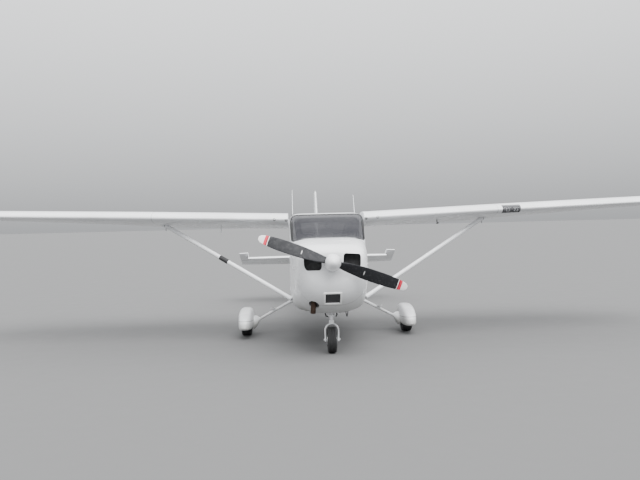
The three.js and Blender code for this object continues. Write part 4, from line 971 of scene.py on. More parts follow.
def make_spinner():
    length = SPINNER_BACK - SPINNER_TIP
    profile = [(SPINNER_TIP - PROP_Y, 0.0015)]
    for i in range(1, 33):
        s = (i / 32) ** 1.5
        profile.append((-length * (1 - s) - PROP_Y + SPINNER_BACK, SPINNER_RADIUS * math.sqrt(1 - (1 - s) ** 1.75)))
    cone = turned("cone", profile, "y", (0, 0, 0), "gloss", DISC, 96, sharp=40)
    cut(cone, rod("hub_room", [(0, -0.0345, 0), (0, 0.08, 0)], 0.059, "black", DISC, 48))
    plate = turned("plate", [(0.038, 0.06), (0.038, 0.1115), (0.046, 0.1115), (0.046, 0.06)], "y", (0, 0, 0),
                   "alloy", DISC, 96, closed=True)
    for side in (1, -1):
        cut(cone, blade_slot(side, 0.0, -0.060))
        cut(plate, blade_slot(side, 0.03, 0.0))
    screws = []
    for i in range(12):
        t = (i + 0.5) * math.pi / 6
        if abs(math.sin(t)) >= 0.5:
            ends = [(r * math.cos(t), 0.02, r * math.sin(t)) for r in (SCREW_RADIUS, SCREW_RADIUS + 0.0032)]
            screws.append(rod("screw", ends, 0.0045, "alloy", DISC, 10))
    return join("spinner_dressed", cone, plate, *screws)


done(make_propeller(), "propeller_dressed", "propeller", ["propeller"])
done(make_spinner(), "spinner_dressed", "propeller", ["spinner"], 35)

# Wing

WING = dict(root=0.560, kink=2.540, tip=5.400, end=5.505, chord=1.626, tip_chord=1.160, lead=0.655,
            tip_lead=0.790, lead_z=0.674, dihedral=math.radians(2.01), twist=(1.1, -2.7))
WING_RATIO, WING_CAMBER = 0.12, 0.02
HINGE_GAP, PANEL_GAP = 0.009, 0.007
FLAP = dict(low=0.585, high=2.545, at=0.72, above_skin=0.018, lugs=(0.9, 2.2))
AILERON = dict(low=2.565, high=5.180, at=0.77, lugs=(3.0, 4.68))
LAMP_BAY = (2.610, 2.885, 0.095)


def half_thickness(u, ratio):
    poly = 0.2969 * math.sqrt(u) - 0.126 * u - 0.3516 * u ** 2 + 0.2843 * u ** 3 - 0.1036 * u ** 4
    return 5 * ratio * poly + 0.0018 * u


def camber_at(u, camber, crest=0.4):
    if u < crest:
        return camber / crest ** 2 * (2 * crest * u - u * u)
    return camber / (1 - crest) ** 2 * (1 - 2 * crest + 2 * crest * u - u * u)


def aerofoil(ratio, camber=0.0, count=30):
    steps = [0.5 + 0.5 * math.cos(math.pi * k / count) for k in range(count + 1)]
    top = [(u, camber_at(u, camber) + half_thickness(u, ratio)) for u in steps]
    low = [(u, camber_at(u, camber) - half_thickness(u, ratio)) for u in steps[:-1][::-1]]
    return top + low


def wing_at(x):
    out = max(0.0, (x - WING["kink"]) / (WING["tip"] - WING["kink"]))

    def mix(a, b):
        return a + (b - a) * out

    return (
        mix(WING["lead"], WING["tip_lead"]), mix(WING["chord"], WING["tip_chord"]),
        WING["lead_z"] + (x - WING["root"]) * math.tan(WING["dihedral"]), math.radians(mix(*WING["twist"])),
    )


def wing_point(x, u, v):
    lead, chord, z, twist = wing_at(x)
    c, s = math.cos(twist), math.sin(twist)
    return np.array((x, lead + chord * (u * c + v * s), z - chord * u * s + chord * v * c))


def wing_ring(x, shrink=1.0, flat=1.0, count=30):
    return [wing_point(x, 0.45 + (u - 0.45) * shrink, v * flat)
            for u, v in aerofoil(WING_RATIO, WING_CAMBER, count)]


def span_stations(low, high, step):
    return np.linspace(low, high, max(2, int(round((high - low) / step)) + 1))


def wing_body(name, low, high, step, tip=False, material="wing", count=30):
    stations = [(x, 1, 1) for x in span_stations(low, high, step)]
    if tip:
        stations += [(high + (WING["end"] - high) * math.sin(a), 1 - 0.14 * (1 - math.cos(a)),
                      max(0.16, math.cos(a) ** 0.8)) for a in quarter(8)]
    return loft(name, [wing_ring(*s, count) for s in stations], material)


def unit(v):
    return v / np.linalg.norm(v)


def hinge_space(start, end, aft, noses, plain=False, grow=0.0, end_grow=None):
    """What a hinged surface takes: a round nose about its axis and all that lies aft of it."""
    end_grow = grow if end_grow is None else end_grow
    along = unit(end - start)
    up = unit(np.cross(along, aft))
    if up[2] + up[0] < 0:
        up = -up
    reach, tall, arc = 0.7, 0.16, 14

    def ring(centre, r):
        points = [(reach, -tall), (reach, tall), (-r if plain else 0, tall)]
        for i in range(arc + 1):
            t = math.pi + i / arc * math.pi / 2 if plain else math.pi / 2 + i / arc * math.pi
            points.append((r * math.cos(t), r * math.sin(t)))
        points.append((0, -tall))
        return [centre + aft * a + up * b for a, b in points]

    return loft("hinge_space", [ring(start - along * end_grow, noses[0] + grow),
                                ring(end + along * end_grow, noses[1] + grow)])


EYE_RADIUS, LUG_HALF, NOTCH_HALF, PIN_HALF, PIN_RADIUS = 0.011, 0.004, 0.010, 0.016, 0.005
NOTCH_CLEAR, LUG_SEATED = 0.003, 0.02


def hinge_bracket(at, along, ahead, reach):
    """The fixed lug with its eye."""
    side = along * LUG_HALF
    eye = rod("eye", [at - side, at + side], EYE_RADIUS, "steel", sides=24)
    up = unit(np.cross(along, ahead)) * EYE_RADIUS
    end = at + ahead * reach
    arm = loft("arm", [[p + s for p in (at + up, end + up, end - up, at - up)] for s in (-side, side)], "steel")
    return join("lug", eye, arm)


def hinge_pin(at, along, notch):
    """The space round the lug in the moving surface, and the pin through it."""
    return (rod("notch", [at - along * NOTCH_HALF, at + along * NOTCH_HALF], notch, "seal", sides=32),
            rod("pin", [at - along * PIN_HALF, at + along * PIN_HALF], PIN_RADIUS, "steel"))


def hang(moving, start, end, aft, places):
    """Notches a surface and gives its pins and fixed lugs, one of each per (share of its axis, nose radius)."""
    along = unit(end - start)
    pins, lugs = [], []
    for share, nose in places:
        at = start + (end - start) * share
        hole, pin = hinge_pin(at, along, nose + NOTCH_CLEAR)
        cut(moving, hole)
        pins.append(pin)
        lugs.append(hinge_bracket(at, along, -aft, nose + HINGE_GAP + LUG_SEATED))
    return pins, lugs


def vectors(mesh, kind):
    """The points' places or normals, one row each."""
    out = np.zeros(len(mesh.vertices) * 3)
    mesh.vertices.foreach_get(kind, out)
    return out.reshape(-1, 3)


def corrugate(obj, depth, pitch, share, along, out, start=0.0):
    """Presses beads across a thin surface: share gives 0..1 where they run, along a place, out a side."""
    mesh = obj.data
    mesh.update()
    co, no = vectors(mesh, "co"), vectors(mesh, "normal")
    phase = np.abs(((co[:, along] - start) / pitch) % 1 - 0.5) * pitch
    bead = np.clip(1 - phase / 0.014, 0, 1)
    bead = bead * bead * (3 - 2 * bead)
    co[:, out] += np.sign(no[:, out]) * depth * bead * share(co)
    mesh.vertices.foreach_set("co", co.ravel())
    mesh.update()


def smoothstep(x, low, high):
    s = np.clip((x - low) / (high - low), 0, 1)
    return s * s * (3 - 2 * s)


AFT = np.array((0.0, 1.0, 0.0))


def aileron_mid(x):
    return wing_point(x, AILERON["at"], camber_at(AILERON["at"], WING_CAMBER))


def flap_axis(x):
    low_skin = camber_at(FLAP["at"], WING_CAMBER) - half_thickness(FLAP["at"], WING_RATIO)
    return wing_point(x, FLAP["at"], low_skin) + np.array((0, 0, FLAP["above_skin"]))


def aileron_nose(x):
    return wing_at(x)[1] * half_thickness(AILERON["at"], WING_RATIO)


def chord_share(co, start, hinge_at):
    """How strongly beads show on a wing surface, by its place along the chord and span."""
    out = np.maximum(0, (co[:, 0] - WING["kink"]) / (WING["tip"] - WING["kink"]))
    lead = WING["lead"] + (WING["tip_lead"] - WING["lead"]) * out
    chord = WING["chord"] + (WING["tip_chord"] - WING["chord"]) * out
    u = (co[:, 1] - lead) / chord
    low, high = start
    ends = smoothstep(co[:, 0], low + 0.03, low + 0.05) * (1 - smoothstep(co[:, 0], high - 0.05, high - 0.03))
    return smoothstep(u, hinge_at + 0.025, hinge_at + 0.05) * (1 - smoothstep(u, 0.965, 0.985)) * ends


FLAP_NOTCH = 0.060


def make_wing():
    fixed = wing_body("wing_fixed", WING["root"], WING["tip"], 0.16, tip=True)
    spans = ((AILERON, aileron_mid, (aileron_nose(AILERON["low"]), aileron_nose(AILERON["high"])), False),
             (FLAP, flap_axis, (FLAP["above_skin"],) * 2, True))
    movers, brackets = [], []
    for spec, axis_at, noses, plain in spans:
        low, high = spec["low"], spec["high"]
        start, end = axis_at(low), axis_at(high)
        space = dict(start=start, end=end, aft=AFT, noses=noses, plain=plain)
        cut(fixed, hinge_space(**space, grow=HINGE_GAP, end_grow=PANEL_GAP))
        moving = wing_body("moving", low - 0.01, high + 0.01, 0.0125, material="surface", count=26)
        meet(moving, hinge_space(**space))
        corrugate(moving, 0.0028, 0.10, lambda co: chord_share(co, (low, high), spec["at"]), 0, 2, low)
        shares = [(x - low) / (high - low) for x in spec["lugs"]]
        pins, lugs = hang(moving, start, end, AFT, [
            (f, noses[0] + (noses[1] - noses[0]) * f + (FLAP_NOTCH if plain else 0)) for f in shares
        ])
        movers.append(join("moving", moving, *pins))
        brackets += lugs
    return fixed, *movers, join("hinge_brackets", *brackets)


def lamp_bay(inset):
    low, high, depth = LAMP_BAY
    reach = wing_at(low)[0] + depth
    return block("bay", (low + inset, 0.3, 0.5), (high - inset, reach - inset, 1.1))


def lamp_cover():
    """The clear cover of the lamp bay, a thin shell in the wing's leading edge."""
    cover = meet(wing_body("lamp_cover", 2.57, 2.93, 0.02, material="lens", count=40), lamp_bay(0.0006))
    inner = wing_body("lamp_room", 2.56, 2.94, 0.02, material="lens", count=40)
    inner.data.transform(Matrix.Translation((0, 0.004, 0)))
    return cut(cover, meet(inner, block("deep", (2.5, 0.3, 0.60), (2.95, 1.0, 1.0))))


def landing_lamps():
    """Two sealed-beam lamps in a dark ribbed bay behind the clear cover."""
    low, high, depth = LAMP_BAY
    centre_z = wing_point((low + high) / 2, 0.03, 0.0)[2]
    front = wing_at(low)[0]
    parts = [block("back", (low + 0.003, front + depth - 0.012, centre_z - 0.05),
                   (high - 0.003, front + depth - 0.002, centre_z + 0.05), "black")]
    dish = [(depth - 0.014, 0.004), (depth - 0.030, 0.020), (depth - 0.052, 0.036), (depth - 0.058, 0.042),
            (depth - 0.054, 0.042), (depth - 0.012, 0.024)]
    bulb = [(depth - 0.045, 0.002), (depth - 0.040, 0.010), (depth - 0.020, 0.010)]
    for k in range(2):
        centre = (low + (high - low) * (0.27 + 0.46 * k), front, centre_z)
        parts.append(turned("dish", dish, "y", centre, "lamp", sides=40, closed=True))
        parts.append(turned("bulb", bulb, "y", centre, "lamp", sides=24))
    for x in np.linspace(low + 0.012, high - 0.012, 7):
        parts.append(block("rib", (x - 0.002, front + 0.052, centre_z - 0.044),
                           (x + 0.002, front + depth - 0.01, centre_z + 0.04), "black"))
    return join("landing_lamps", *parts)


def wing_fittings():
    """The fuel cap, and round dark openings in the leading edge near the root: a rim and a black hole."""
    at = wing_point(0.80, 0.30, camber_at(0.30, WING_CAMBER) + half_thickness(0.30, WING_RATIO))
    cap = [(-0.004, 0.020), (0.002, 0.048), (0.004, 0.046), (0.004, 0.001)]
    vent = [(0.012, 0.018), (-0.007, 0.020), (-0.0075, 0.017), (-0.002, 0.014), (0.002, 0.001)]
    parts = [turned("ring", cap, "z", at, "alloy", sides=40),
             block("tab", at + (-0.030, -0.006, 0.003), at + (0.030, 0.006, 0.012), "black", bevel=0.003)]
    for x, v in ((0.585, -0.010), (0.757, -0.006)):
        parts.append(turned("vent", vent, "y", wing_point(x, 0.004, v), "seal", sides=32))
    return join("wing_fittings", *parts)


def tip_lamp(colour):
    """The navigation lamp in a shallow fairing at the wing's tip."""
    p = wing_point(WING["end"] - 0.012, 0.16, 0.010)
    foot = rod("foot", [p + (-0.06, 0.03, 0), p + (0.004, 0.0, 0)], [0.020, 0.016], "gloss", sides=24)
    lens = [(-0.026, 0.002), (-0.022, 0.010), (-0.010, 0.0155), (0.012, 0.0155), (0.02, 0.008)]
    return join("tip_lamp", foot, turned("lens", lens, "y", p + (-0.006, -0.012, 0), colour, sides=24))


left_wing, aileron, flap, wing_brackets = make_wing()
right_wing = flipped(left_wing)
cut(left_wing, lamp_bay(0.0))
for side, wing in (("left", left_wing), ("right", right_wing)):
    done(wing, f"wing_{side}_dressed", "root", [f"wing_{side}"], 28)
done(lamp_cover(), "landing_light_dressed", "root", ["landing_light"], 30)
done(landing_lamps(), "landing_lamps", "root", sharp=35)
both(aileron, "aileron_{}_dressed", "aileron_{}", "aileron_{}", 28)
both(flap, "flap_{}_dressed", "flap_{}", "flap_{}", 28)
both(wing_brackets, "wing_hinge_brackets_{}")
both(wing_fittings(), "wing_fittings_{}")
done(tip_lamp("red"), "tip_lamp_left", "root")
done(turned_over(tip_lamp("green")), "tip_lamp_right", "root")

# Struts

STRUT = dict(low=(0.500, 0.466, -0.498), high=(2.500, 1.138, 0.704), chord=0.115, thick=0.062)


def strut_frame():
    low, high = np.array(STRUT["low"]), np.array(STRUT["high"])
    along = unit(high - low)
    chordway = unit(AFT - along * along[1])
    return low, high, along, chordway, np.cross(along, chordway)


def strut_ring(f, grow=1.0, count=16):
    low, high, along, chordway, thickway = strut_frame()
    middle = low + (high - low) * f
    chord, ratio = STRUT["chord"] * grow, STRUT["thick"] / STRUT["chord"]
    return [middle + chordway * ((u - 0.45) * chord) + thickway * (v * chord) for u, v in aerofoil(ratio, 0, count)]


def strut_sleeve(name, start, end, grow, material):
    """A fairing cuff or wrap round the strut, with softened ends."""
    steps = [(start, grow * 0.93), (start + 0.002, grow), (end - 0.002, grow), (end, grow * 0.93)]
    return loft(name, [strut_ring(f, g) for f, g in steps], material)


def make_strut(side):
    bar = loft("strut", [strut_ring(f) for f in np.linspace(0.012, 1.0, 24)], "gloss")
    low_cuff = strut_sleeve("cuff", 0.016, 0.052, 1.05, "gloss")
    high_cuff = strut_sleeve("cuff", 0.960, 0.995, 1.05, "gloss")
    for piece in (bar, low_cuff, high_cuff):
        cut(piece, hull_solid("cabin_room", 0, 1200, -0.3), wing_body("above", 2.2, 2.7, 0.25, count=24))
    parts = [bar, low_cuff, high_cuff, strut_sleeve("band", 0.953, 0.958, 1.04, "seal")]
    if side < 0:
        parts.append(strut_sleeve("wrap", 0.472, 0.533, 1.10, "seal"))
        parts = [turned_over(p) for p in parts]
    return join("strut_dressed", *parts)


for side, sign in SIDES:
    done(make_strut(sign), f"strut_{side}_dressed", "root", [f"strut_{side}"], 35)

# Tail

STAB = dict(z=0.225, root_x=0.020, tip_x=1.712, root_lead=5.486, tip_lead=5.740, root_trail=6.655,
            tip_trail=6.580, thick=0.085, lugs=(0.22, 0.72))
ELEVATOR = dict(hinge_y=6.160, inner_x=0.105, droop=math.radians(-16), horn_x=1.535, horn_y=5.905)
TAB = dict(low=0.300, high=0.960, hinge_y=6.520, nose=0.0165, notch=0.0195)
RUDDER_ROOM = [(0, 6.100), (0.105, 6.100), (0.105, 6.215), (0.205, 6.680), (0.205, 6.800), (0, 6.800)]
FIN_TABLE = [
    # z, leading edge y, trailing edge y
    [-20, 4983, 6655], [300, 5207, 6740], [1560, 6090, 7061], [1700, 6200, 7098], [1767, 6330, 7090],
]
FIN_THICK = 0.07
RUDDER = dict(low=(0, 6.172, -0.020), high=(0, 6.680, 1.700), horn_z=1.590, forward=0.210, lugs=(0.560, 1.330))
DORSAL = [(3.950, 0.300), (5.200, 0.240), (5.700, 0.700), (5.560, 0.660), (5.330, 0.445), (5.000, 0.400)]
ELEVATOR_PLACE = AIR @ Matrix.Translation((0, ELEVATOR["hinge_y"], STAB["z"])) @ Matrix.Rotation(
    ELEVATOR["droop"], 4, "X")
FLAT_TAIL = AIR @ Matrix.Translation((0, 0, STAB["z"]))


TAIL_ROUND = 0.030


def make_tail_cone():
    rings = [hull_ring(row) for row in hull_rows(2800.3, 6120)]
    end = rings[-1]
    middle = end.mean(axis=0)
    rings[-1] = end - np.array((0, TAIL_ROUND, 0))
    for a in quarter(5):
        ring = middle + (end - middle) * max(0.06, math.cos(a))
        ring[:, 1] = end[0][1] - TAIL_ROUND + TAIL_ROUND * math.sin(a)
        rings.append(ring)
    return loft("tail_cone_dressed", rings, "tail_cone")


done(make_tail_cone(), "tail_cone_dressed", "root", ["tail_cone"], 40)


def fin_rings(step=90):
    rows = dense(FIN_TABLE, step, (0, 1))
    rings = []
    for z, lead, trail in rows:
        top = max(0.0, (z - 1690) / 77)
        thick = FIN_THICK * math.sqrt(max(0.04, 1 - top * top))
        rings.append([(v * (trail - lead) * MM, (lead + (trail - lead) * u) * MM, z * MM)
                      for u, v in aerofoil(thick)])
    return rings


def fin_nose(z, y):
    lead = np.interp(z, [r[0] for r in FIN_TABLE], [r[1] for r in FIN_TABLE]) * MM
    trail = np.interp(z, [r[0] for r in FIN_TABLE], [r[2] for r in FIN_TABLE]) * MM
    return (trail - lead) * half_thickness((y - lead) / (trail - lead), FIN_THICK)


def make_fin():
    low, high = np.array(RUDDER["low"]), np.array(RUDDER["high"])
    along = unit(high - low)
    aft = np.array((0, along[2], -along[1]))
    past = 0.26
    noses = (fin_nose(-20, low[1]), fin_nose(1700, high[1]))
    space = dict(start=low - along * past, end=high + along * past, aft=aft, noses=noses)
    fin = loft("fin", fin_rings(), "tail")
    rudder = meet(loft("rudder", fin_rings(45), "tail"), hinge_space(**space))
    cut(fin, hinge_space(**space, grow=HINGE_GAP, end_grow=PANEL_GAP))

    def horn_space(grow):
        f = (RUDDER["horn_z"] - low[2]) / (high[2] - low[2])
        base = low + (high - low) * f - along * grow
        ahead, top = aft * -(RUDDER["forward"] + grow), along * 0.4
        corners = [base + ahead, base, base + top, base + ahead + top]
        return loft("horn", [[p + (x, 0, 0) for p in corners] for x in (-0.1, 0.1)], "tail")

    cut(fin, horn_space(HINGE_GAP))
    horn = meet(loft("horn_part", fin_rings(20), "tail"), horn_space(0))
    places = []
    for z in RUDDER["lugs"]:
        f = (z - low[2]) / (high[2] - low[2])
        places.append((f, fin_nose(z / MM, low[1] + (high[1] - low[1]) * f)))
    pins, lugs = hang(rudder, low, high, aft, places)

    def share(co):
        lead_y = low[1] + (co[:, 2] - low[2]) / (high[2] - low[2]) * (high[1] - low[1])
        trail = np.interp(co[:, 2], [r[0] * MM for r in FIN_TABLE], [r[2] * MM for r in FIN_TABLE])
        return (smoothstep(co[:, 1] - lead_y, 0.05, 0.09) * (1 - smoothstep(co[:, 1] - trail, -0.05, -0.02))
                * smoothstep(co[:, 2], 0.02, 0.06) * (1 - smoothstep(co[:, 2], 1.50, 1.56)))

    corrugate(rudder, 0.0026, 0.105, share, 2, 0)
    cut(fin, hull_solid("tail_room", 3600, 6120, -0.3, stretch=(0, 5)),
        block("below", (-0.2, 4.0, -0.4), (0.2, 7.0, 0.262)))
    return fin, join("rudder_dressed", rudder, horn, *pins), lugs


fin, rudder, rudder_lugs = make_fin()
dorsal = cut(prism("dorsal", DORSAL, "x", -0.013, 0.013, "tail"), hull_solid("tail_room", 3600, 6120, -0.3))
rounded_edges(dorsal, 0.010, 3, 50)
done(join("fin_dressed", fin, dorsal, *rudder_lugs), "fin_dressed", "root", ["fin"], 28)
done(rudder, "rudder_dressed", "rudder", ["rudder"], 28)


def stab_ring(x, lead, trail, flat=1.0):
    return [(x, lead + (trail - lead) * u, v * (trail - lead) * flat) for u, v in aerofoil(STAB["thick"])]


def stab_at(x):
    out = (x - STAB["root_x"]) / (STAB["tip_x"] - STAB["root_x"])
    return (STAB["root_lead"] + (STAB["tip_lead"] - STAB["root_lead"]) * out,
            STAB["root_trail"] + (STAB["tip_trail"] - STAB["root_trail"]) * out)


def stab_body(name, low, high, step):
    rings = [stab_ring(x, *stab_at(x)) for x in span_stations(low, high, step)]
    lead, trail = stab_at(STAB["tip_x"])
    for a in quarter(5):
        pull = 1 - math.cos(a)
        rings.append(stab_ring(high + 0.025 * math.sin(a), lead + 0.060 * pull, trail - 0.040 * pull,
                               max(0.2, math.cos(a))))
    return loft(name, rings, "tail")


def stab_nose(x):
    lead, trail = stab_at(x)
    return (trail - lead) * half_thickness((ELEVATOR["hinge_y"] - lead) / (trail - lead), STAB["thick"])


def make_tailplane():
    end, y, half = STAB["tip_x"] + 0.06, ELEVATOR["hinge_y"], 0.09
    start, stop = np.array((ELEVATOR["inner_x"], y, 0)), np.array((end, y, 0))
    space = dict(start=start, end=stop, aft=AFT, noses=(stab_nose(start[0]), stab_nose(end)))
    fixed = stab_body("stabiliser", STAB["root_x"], STAB["tip_x"], 0.14)
    cut(fixed, hinge_space(**space, grow=HINGE_GAP, end_grow=PANEL_GAP))
    moving = meet(stab_body("elevator", STAB["root_x"], STAB["tip_x"], 0.012), hinge_space(**space))
    horn_x, horn_front = ELEVATOR["horn_x"], ELEVATOR["horn_y"] - 0.3
    horn = meet(stab_body("horn", STAB["tip_x"] - 0.3, STAB["tip_x"], 0.05),
                block("horn_space", (horn_x, horn_front, -half), (1.9, y + 0.04, half)))
    cut(fixed, block("horn_gap", (horn_x - HINGE_GAP, horn_front - HINGE_GAP, -half), (1.909, y + 0.05, half)))
    for piece in (moving, fixed):
        cut(piece, prism("rudder_room", RUDDER_ROOM, "z", -0.2, 0.2))
    cut(fixed, block("inner", (0, y - 0.09, -0.2), (ELEVATOR["inner_x"] - 0.02, 6.9, 0.2)))

    def share(co):
        u = co[:, 1] - y
        trail = np.interp(co[:, 0], (STAB["root_x"], STAB["tip_x"]), (STAB["root_trail"], STAB["tip_trail"]))
        return (smoothstep(u, 0.055, 0.09) * (1 - smoothstep(co[:, 1] - trail, -0.05, -0.02))
                * smoothstep(co[:, 0], 0.24, 0.27) * (1 - smoothstep(co[:, 0], 1.50, 1.53)))

    corrugate(moving, 0.0024, 0.098, share, 0, 2, 0.2)
    pins, lugs = hang(moving, start, stop, AFT, [
        (f, stab_nose(start[0] + (end - start[0]) * f)) for f in STAB["lugs"]
    ])
    return fixed, moving, [horn, *pins], lugs


def tab_space(grow):
    y = TAB["hinge_y"]
    return hinge_space(np.array((TAB["low"], y, 0)), np.array((TAB["high"], y, 0)), AFT, (TAB["nose"],) * 2, grow=grow)


def shifted(obj, move):
    obj.data.transform(Matrix.Translation(move))
    return obj


stabiliser, elevator, elevator_extras, stab_lugs = make_tailplane()
cut(stabiliser, shifted(hull_solid("tail_room", 5000, 6120, -0.3, stretch=(0, 1)), (0, 0, -STAB["z"])))
stabiliser = join("stabiliser", stabiliser, *stab_lugs)
stabiliser.matrix_world = FLAT_TAIL
both(stabiliser, "stabiliser_{}_dressed", "root", "stabiliser_{}", 28)
right_half, right_extras = flipped(elevator), [flipped(piece) for piece in elevator_extras]
cut(right_half, turned_over(tab_space(0.005)))
tab = turned_over(meet(copied(elevator, "tab"), tab_space(0)))
tab_at, tab_along = np.array((-0.63, TAB["hinge_y"], 0)), np.array((1.0, 0, 0))
hole, pin = hinge_pin(tab_at, tab_along, TAB["notch"])
tab = join("tab", cut(tab, hole), pin)
right_extras.append(hinge_bracket(tab_at, tab_along, -AFT, 0.030))
for piece, name, ride, node in (
    (tab, "trim_tab_dressed", "trim_tab", "trim_tab"),
    (join("half", elevator, *elevator_extras), "elevator_left_dressed", "elevator", "elevator_left"),
    (join("half", right_half, *right_extras), "elevator_right_dressed", "elevator", "elevator_right"),
):
    shifted(piece, (0, -ELEVATOR["hinge_y"], 0))
    piece.matrix_world = ELEVATOR_PLACE
    done(piece, name, ride, [node], 28)


# Landing gear

def over_ground(y, above):
    """Height in airframe axes of a point at station y that stands this far above the ground."""
    return (above - PROP_LINE_Z + y * math.sin(PITCH)) / math.cos(PITCH)


MAIN = dict(x=1.250, y=1.478, radius=0.205, width=0.156, rim=0.080)
LEG = dict(inner=(0.455, 1.405, 0.575), outer=(1.104, 1.440, 0.228), thick=0.046)
MAIN_Z = over_ground(MAIN["y"], MAIN["radius"])
NOSE = dict(y=-0.173, radius=0.176, width=0.122, rim=0.064)
NOSE_Z = over_ground(NOSE["y"], NOSE["radius"])
BEAD, SIDE_WALL, SHOULDER = 0.014, 0.032, 0.042


def make_tyre(name, wheel, centre, grooves):
    """Half-round shoulders, a nearly flat tread with grooves pressed in, and a bead at the rim."""
    r, w, rim = wheel["radius"], wheel["width"], wheel["rim"]
    right = [(0.5 * w - BEAD, rim), (0.5 * w - 0.004, rim + 0.012), (0.5 * w, rim + SIDE_WALL)]
    right += [(0.5 * w - 0.16 * w * (1 - math.cos(a)), r - SHOULDER + (SHOULDER - 0.006) * math.sin(a))
              for a in quarter(8)]
    for g in grooves:
        right += [(g + 0.0045, r - 0.0045), (g + 0.003, r - 0.011), (g - 0.003, r - 0.011), (g - 0.0045, r - 0.0035)]
    profile = [*right, (0.0, r), *[(-a, b) for a, b in right[::-1]]]
    return turned(name, profile, "x", centre, "tyre", sides=96, closed=True, sharp=40)


def make_hub(name, wheel, centre, half, bore, bolts):
    rim = wheel["rim"] - 0.0003
    right = [(half, bore), (half, bore + 0.012), (half - 0.008, bore + 0.014), (half - 0.012, rim * 0.55),
             (half - 0.004, rim * 0.72), (half - 0.001, rim - 0.006), (half - 0.003, rim)]
    profile = [(-a, b) for a, b in right] + right[::-1]
    hub = turned("hub", profile, "x", centre, "alloy", closed=True)
    heads = []
    for k in range(bolts):
        t = 2 * math.pi * k / bolts
        c = np.array(centre) + (0, rim * 0.64 * math.cos(t), rim * 0.64 * math.sin(t))
        for s in (1, -1):
            heads.append(rod("bolt", [c + (s * (half - 0.010), 0, 0), c + (s * (half - 0.003), 0, 0)], 0.005,
                             "steel", sides=6))
    return join(name, hub, *heads)


STEP = dict(along=0.58, half=0.038, front=0.075, back=0.010, rise=0.046, thick=0.006, web=0.005)


def leg_ends():
    return [np.array((x, y, over_ground(y, above))) for x, y, above in (LEG["inner"], LEG["outer"])]


def make_step(middle):
    """The round-cornered foot plate on its web over the leg, with a grip strip on it."""
    x, y, z = middle
    half, front, back, thick = STEP["half"], STEP["front"], STEP["back"], STEP["thick"]
    low = z + STEP["rise"]
    outline = rounded(box_outline(x - half, y - front, x + half, y + back), 0.014)
    plate = prism("plate", outline, "z", low, low + thick, "leg")
    grip = prism("grip", offset(outline, -0.008), "z", low + thick, low + thick + 0.0012, "seal")
    web = block("web", (x - STEP["web"], y - front / 2, z), (x + STEP["web"], y + back / 2, low + 0.001), "leg")
    return [plate, grip, web]


def make_leg():
    inner, outer = leg_ends()
    radius = LEG["thick"] / 2
    out_x, out_y, _ = LEG["outer"]

    def at(*shares):
        return [inner + (outer - inner) * f for f in shares]

    leg = rod("leg", at(0, 0.4, 0.97, 1.0), [radius, radius - 0.002, radius - 0.005, radius - 0.006], "leg", sides=36)
    axle = rod("axle", [(out_x - 0.012, MAIN["y"], MAIN_Z), (MAIN["x"] + 0.062, MAIN["y"], MAIN_Z)], 0.019,
               "steel", sides=28)
    knuckle = block("knuckle", (out_x - 0.020, out_y - 0.034, MAIN_Z - 0.034),
                    (out_x + 0.012, MAIN["y"] + 0.034, MAIN_Z + 0.040), "leg", bevel=0.010)
    collar = rod("collar", at(0.125, 0.150, 0.170), [radius + 0.012, radius + 0.006, radius + 0.001], sides=36)
    for piece in (leg, collar):
        cut(piece, hull_solid("cabin_room", 600, 2400, -0.3))
    under = (0, 0.012, -radius + 0.001)
    pipe = rod("brake_pipe", [p + under for p in at(0.17, 0.4, 0.7, 0.88)], 0.003, "alloy", sides=8)
    clips = [rod("clip", at(f, f + 0.010), radius + 0.001, "alloy", sides=28) for f in (0.3, 0.74)]
    return join("gear_leg", leg, axle, knuckle, collar, pipe, *clips, *make_step(*at(STEP["along"])))


FAIRING = [
    # station y from the axle, half width, widest level, top and bottom over the ground, squareness above and below
    [-520, 30, 214, 246, 182, 2.2, 2.6], [-495, 60, 222, 292, 156, 2.5, 3.2], [-420, 90, 230, 354, 140, 2.8, 3.8],
    [-250, 109, 240, 411, 134, 3.2, 4.6], [0, 116, 248, 433, 134, 3.3, 4.8], [260, 98, 254, 410, 146, 2.9, 3.8],
    [520, 54, 266, 350, 186, 2.4, 2.7], [700, 12, 284, 304, 262, 2.0, 2.0],
]


def fairing_body(name, inset):
    rings = []
    for y, half, belt, top, bottom, above, below in dense(FAIRING, 40):
        row = (y, max(half - inset, 4), belt, top - inset, bottom + inset, above, below)
        ring = hull_ring(row, 0, 72) + (MAIN["x"], MAIN["y"], 0)
        ring[:, 2] = over_ground(ring[:, 1], ring[:, 2])
        rings.append(ring)
    rings[0][:, 1] += 3 * inset * MM
    rings[-1][:, 1] -= 3 * inset * MM
    return loft(name, rings, "fairing")


TYRE_ROOM = dict(half=0.092, reach=0.228)
FAIRING_SEAM, FAIRING_SCREWS = 0.247, 0.266


def tyre_space():
    y, reach, half = MAIN["y"], TYRE_ROOM["reach"], TYRE_ROOM["half"]
    outline = rounded(box_outline(y - reach, -2.0, y + reach, MAIN_Z), 0.03)
    return prism("tyre_room", outline, "x", MAIN["x"] - half, MAIN["x"] + half)


def fairing_layer(name, outer, inner, low, high):
    """A level strip of the fairing's wall between two insets and two heights."""
    layer = cut(fairing_body(name, outer), fairing_body("inside", inner))
    return meet(layer, block("level", (1.0, 0.8, low), (1.5, 2.4, high)))


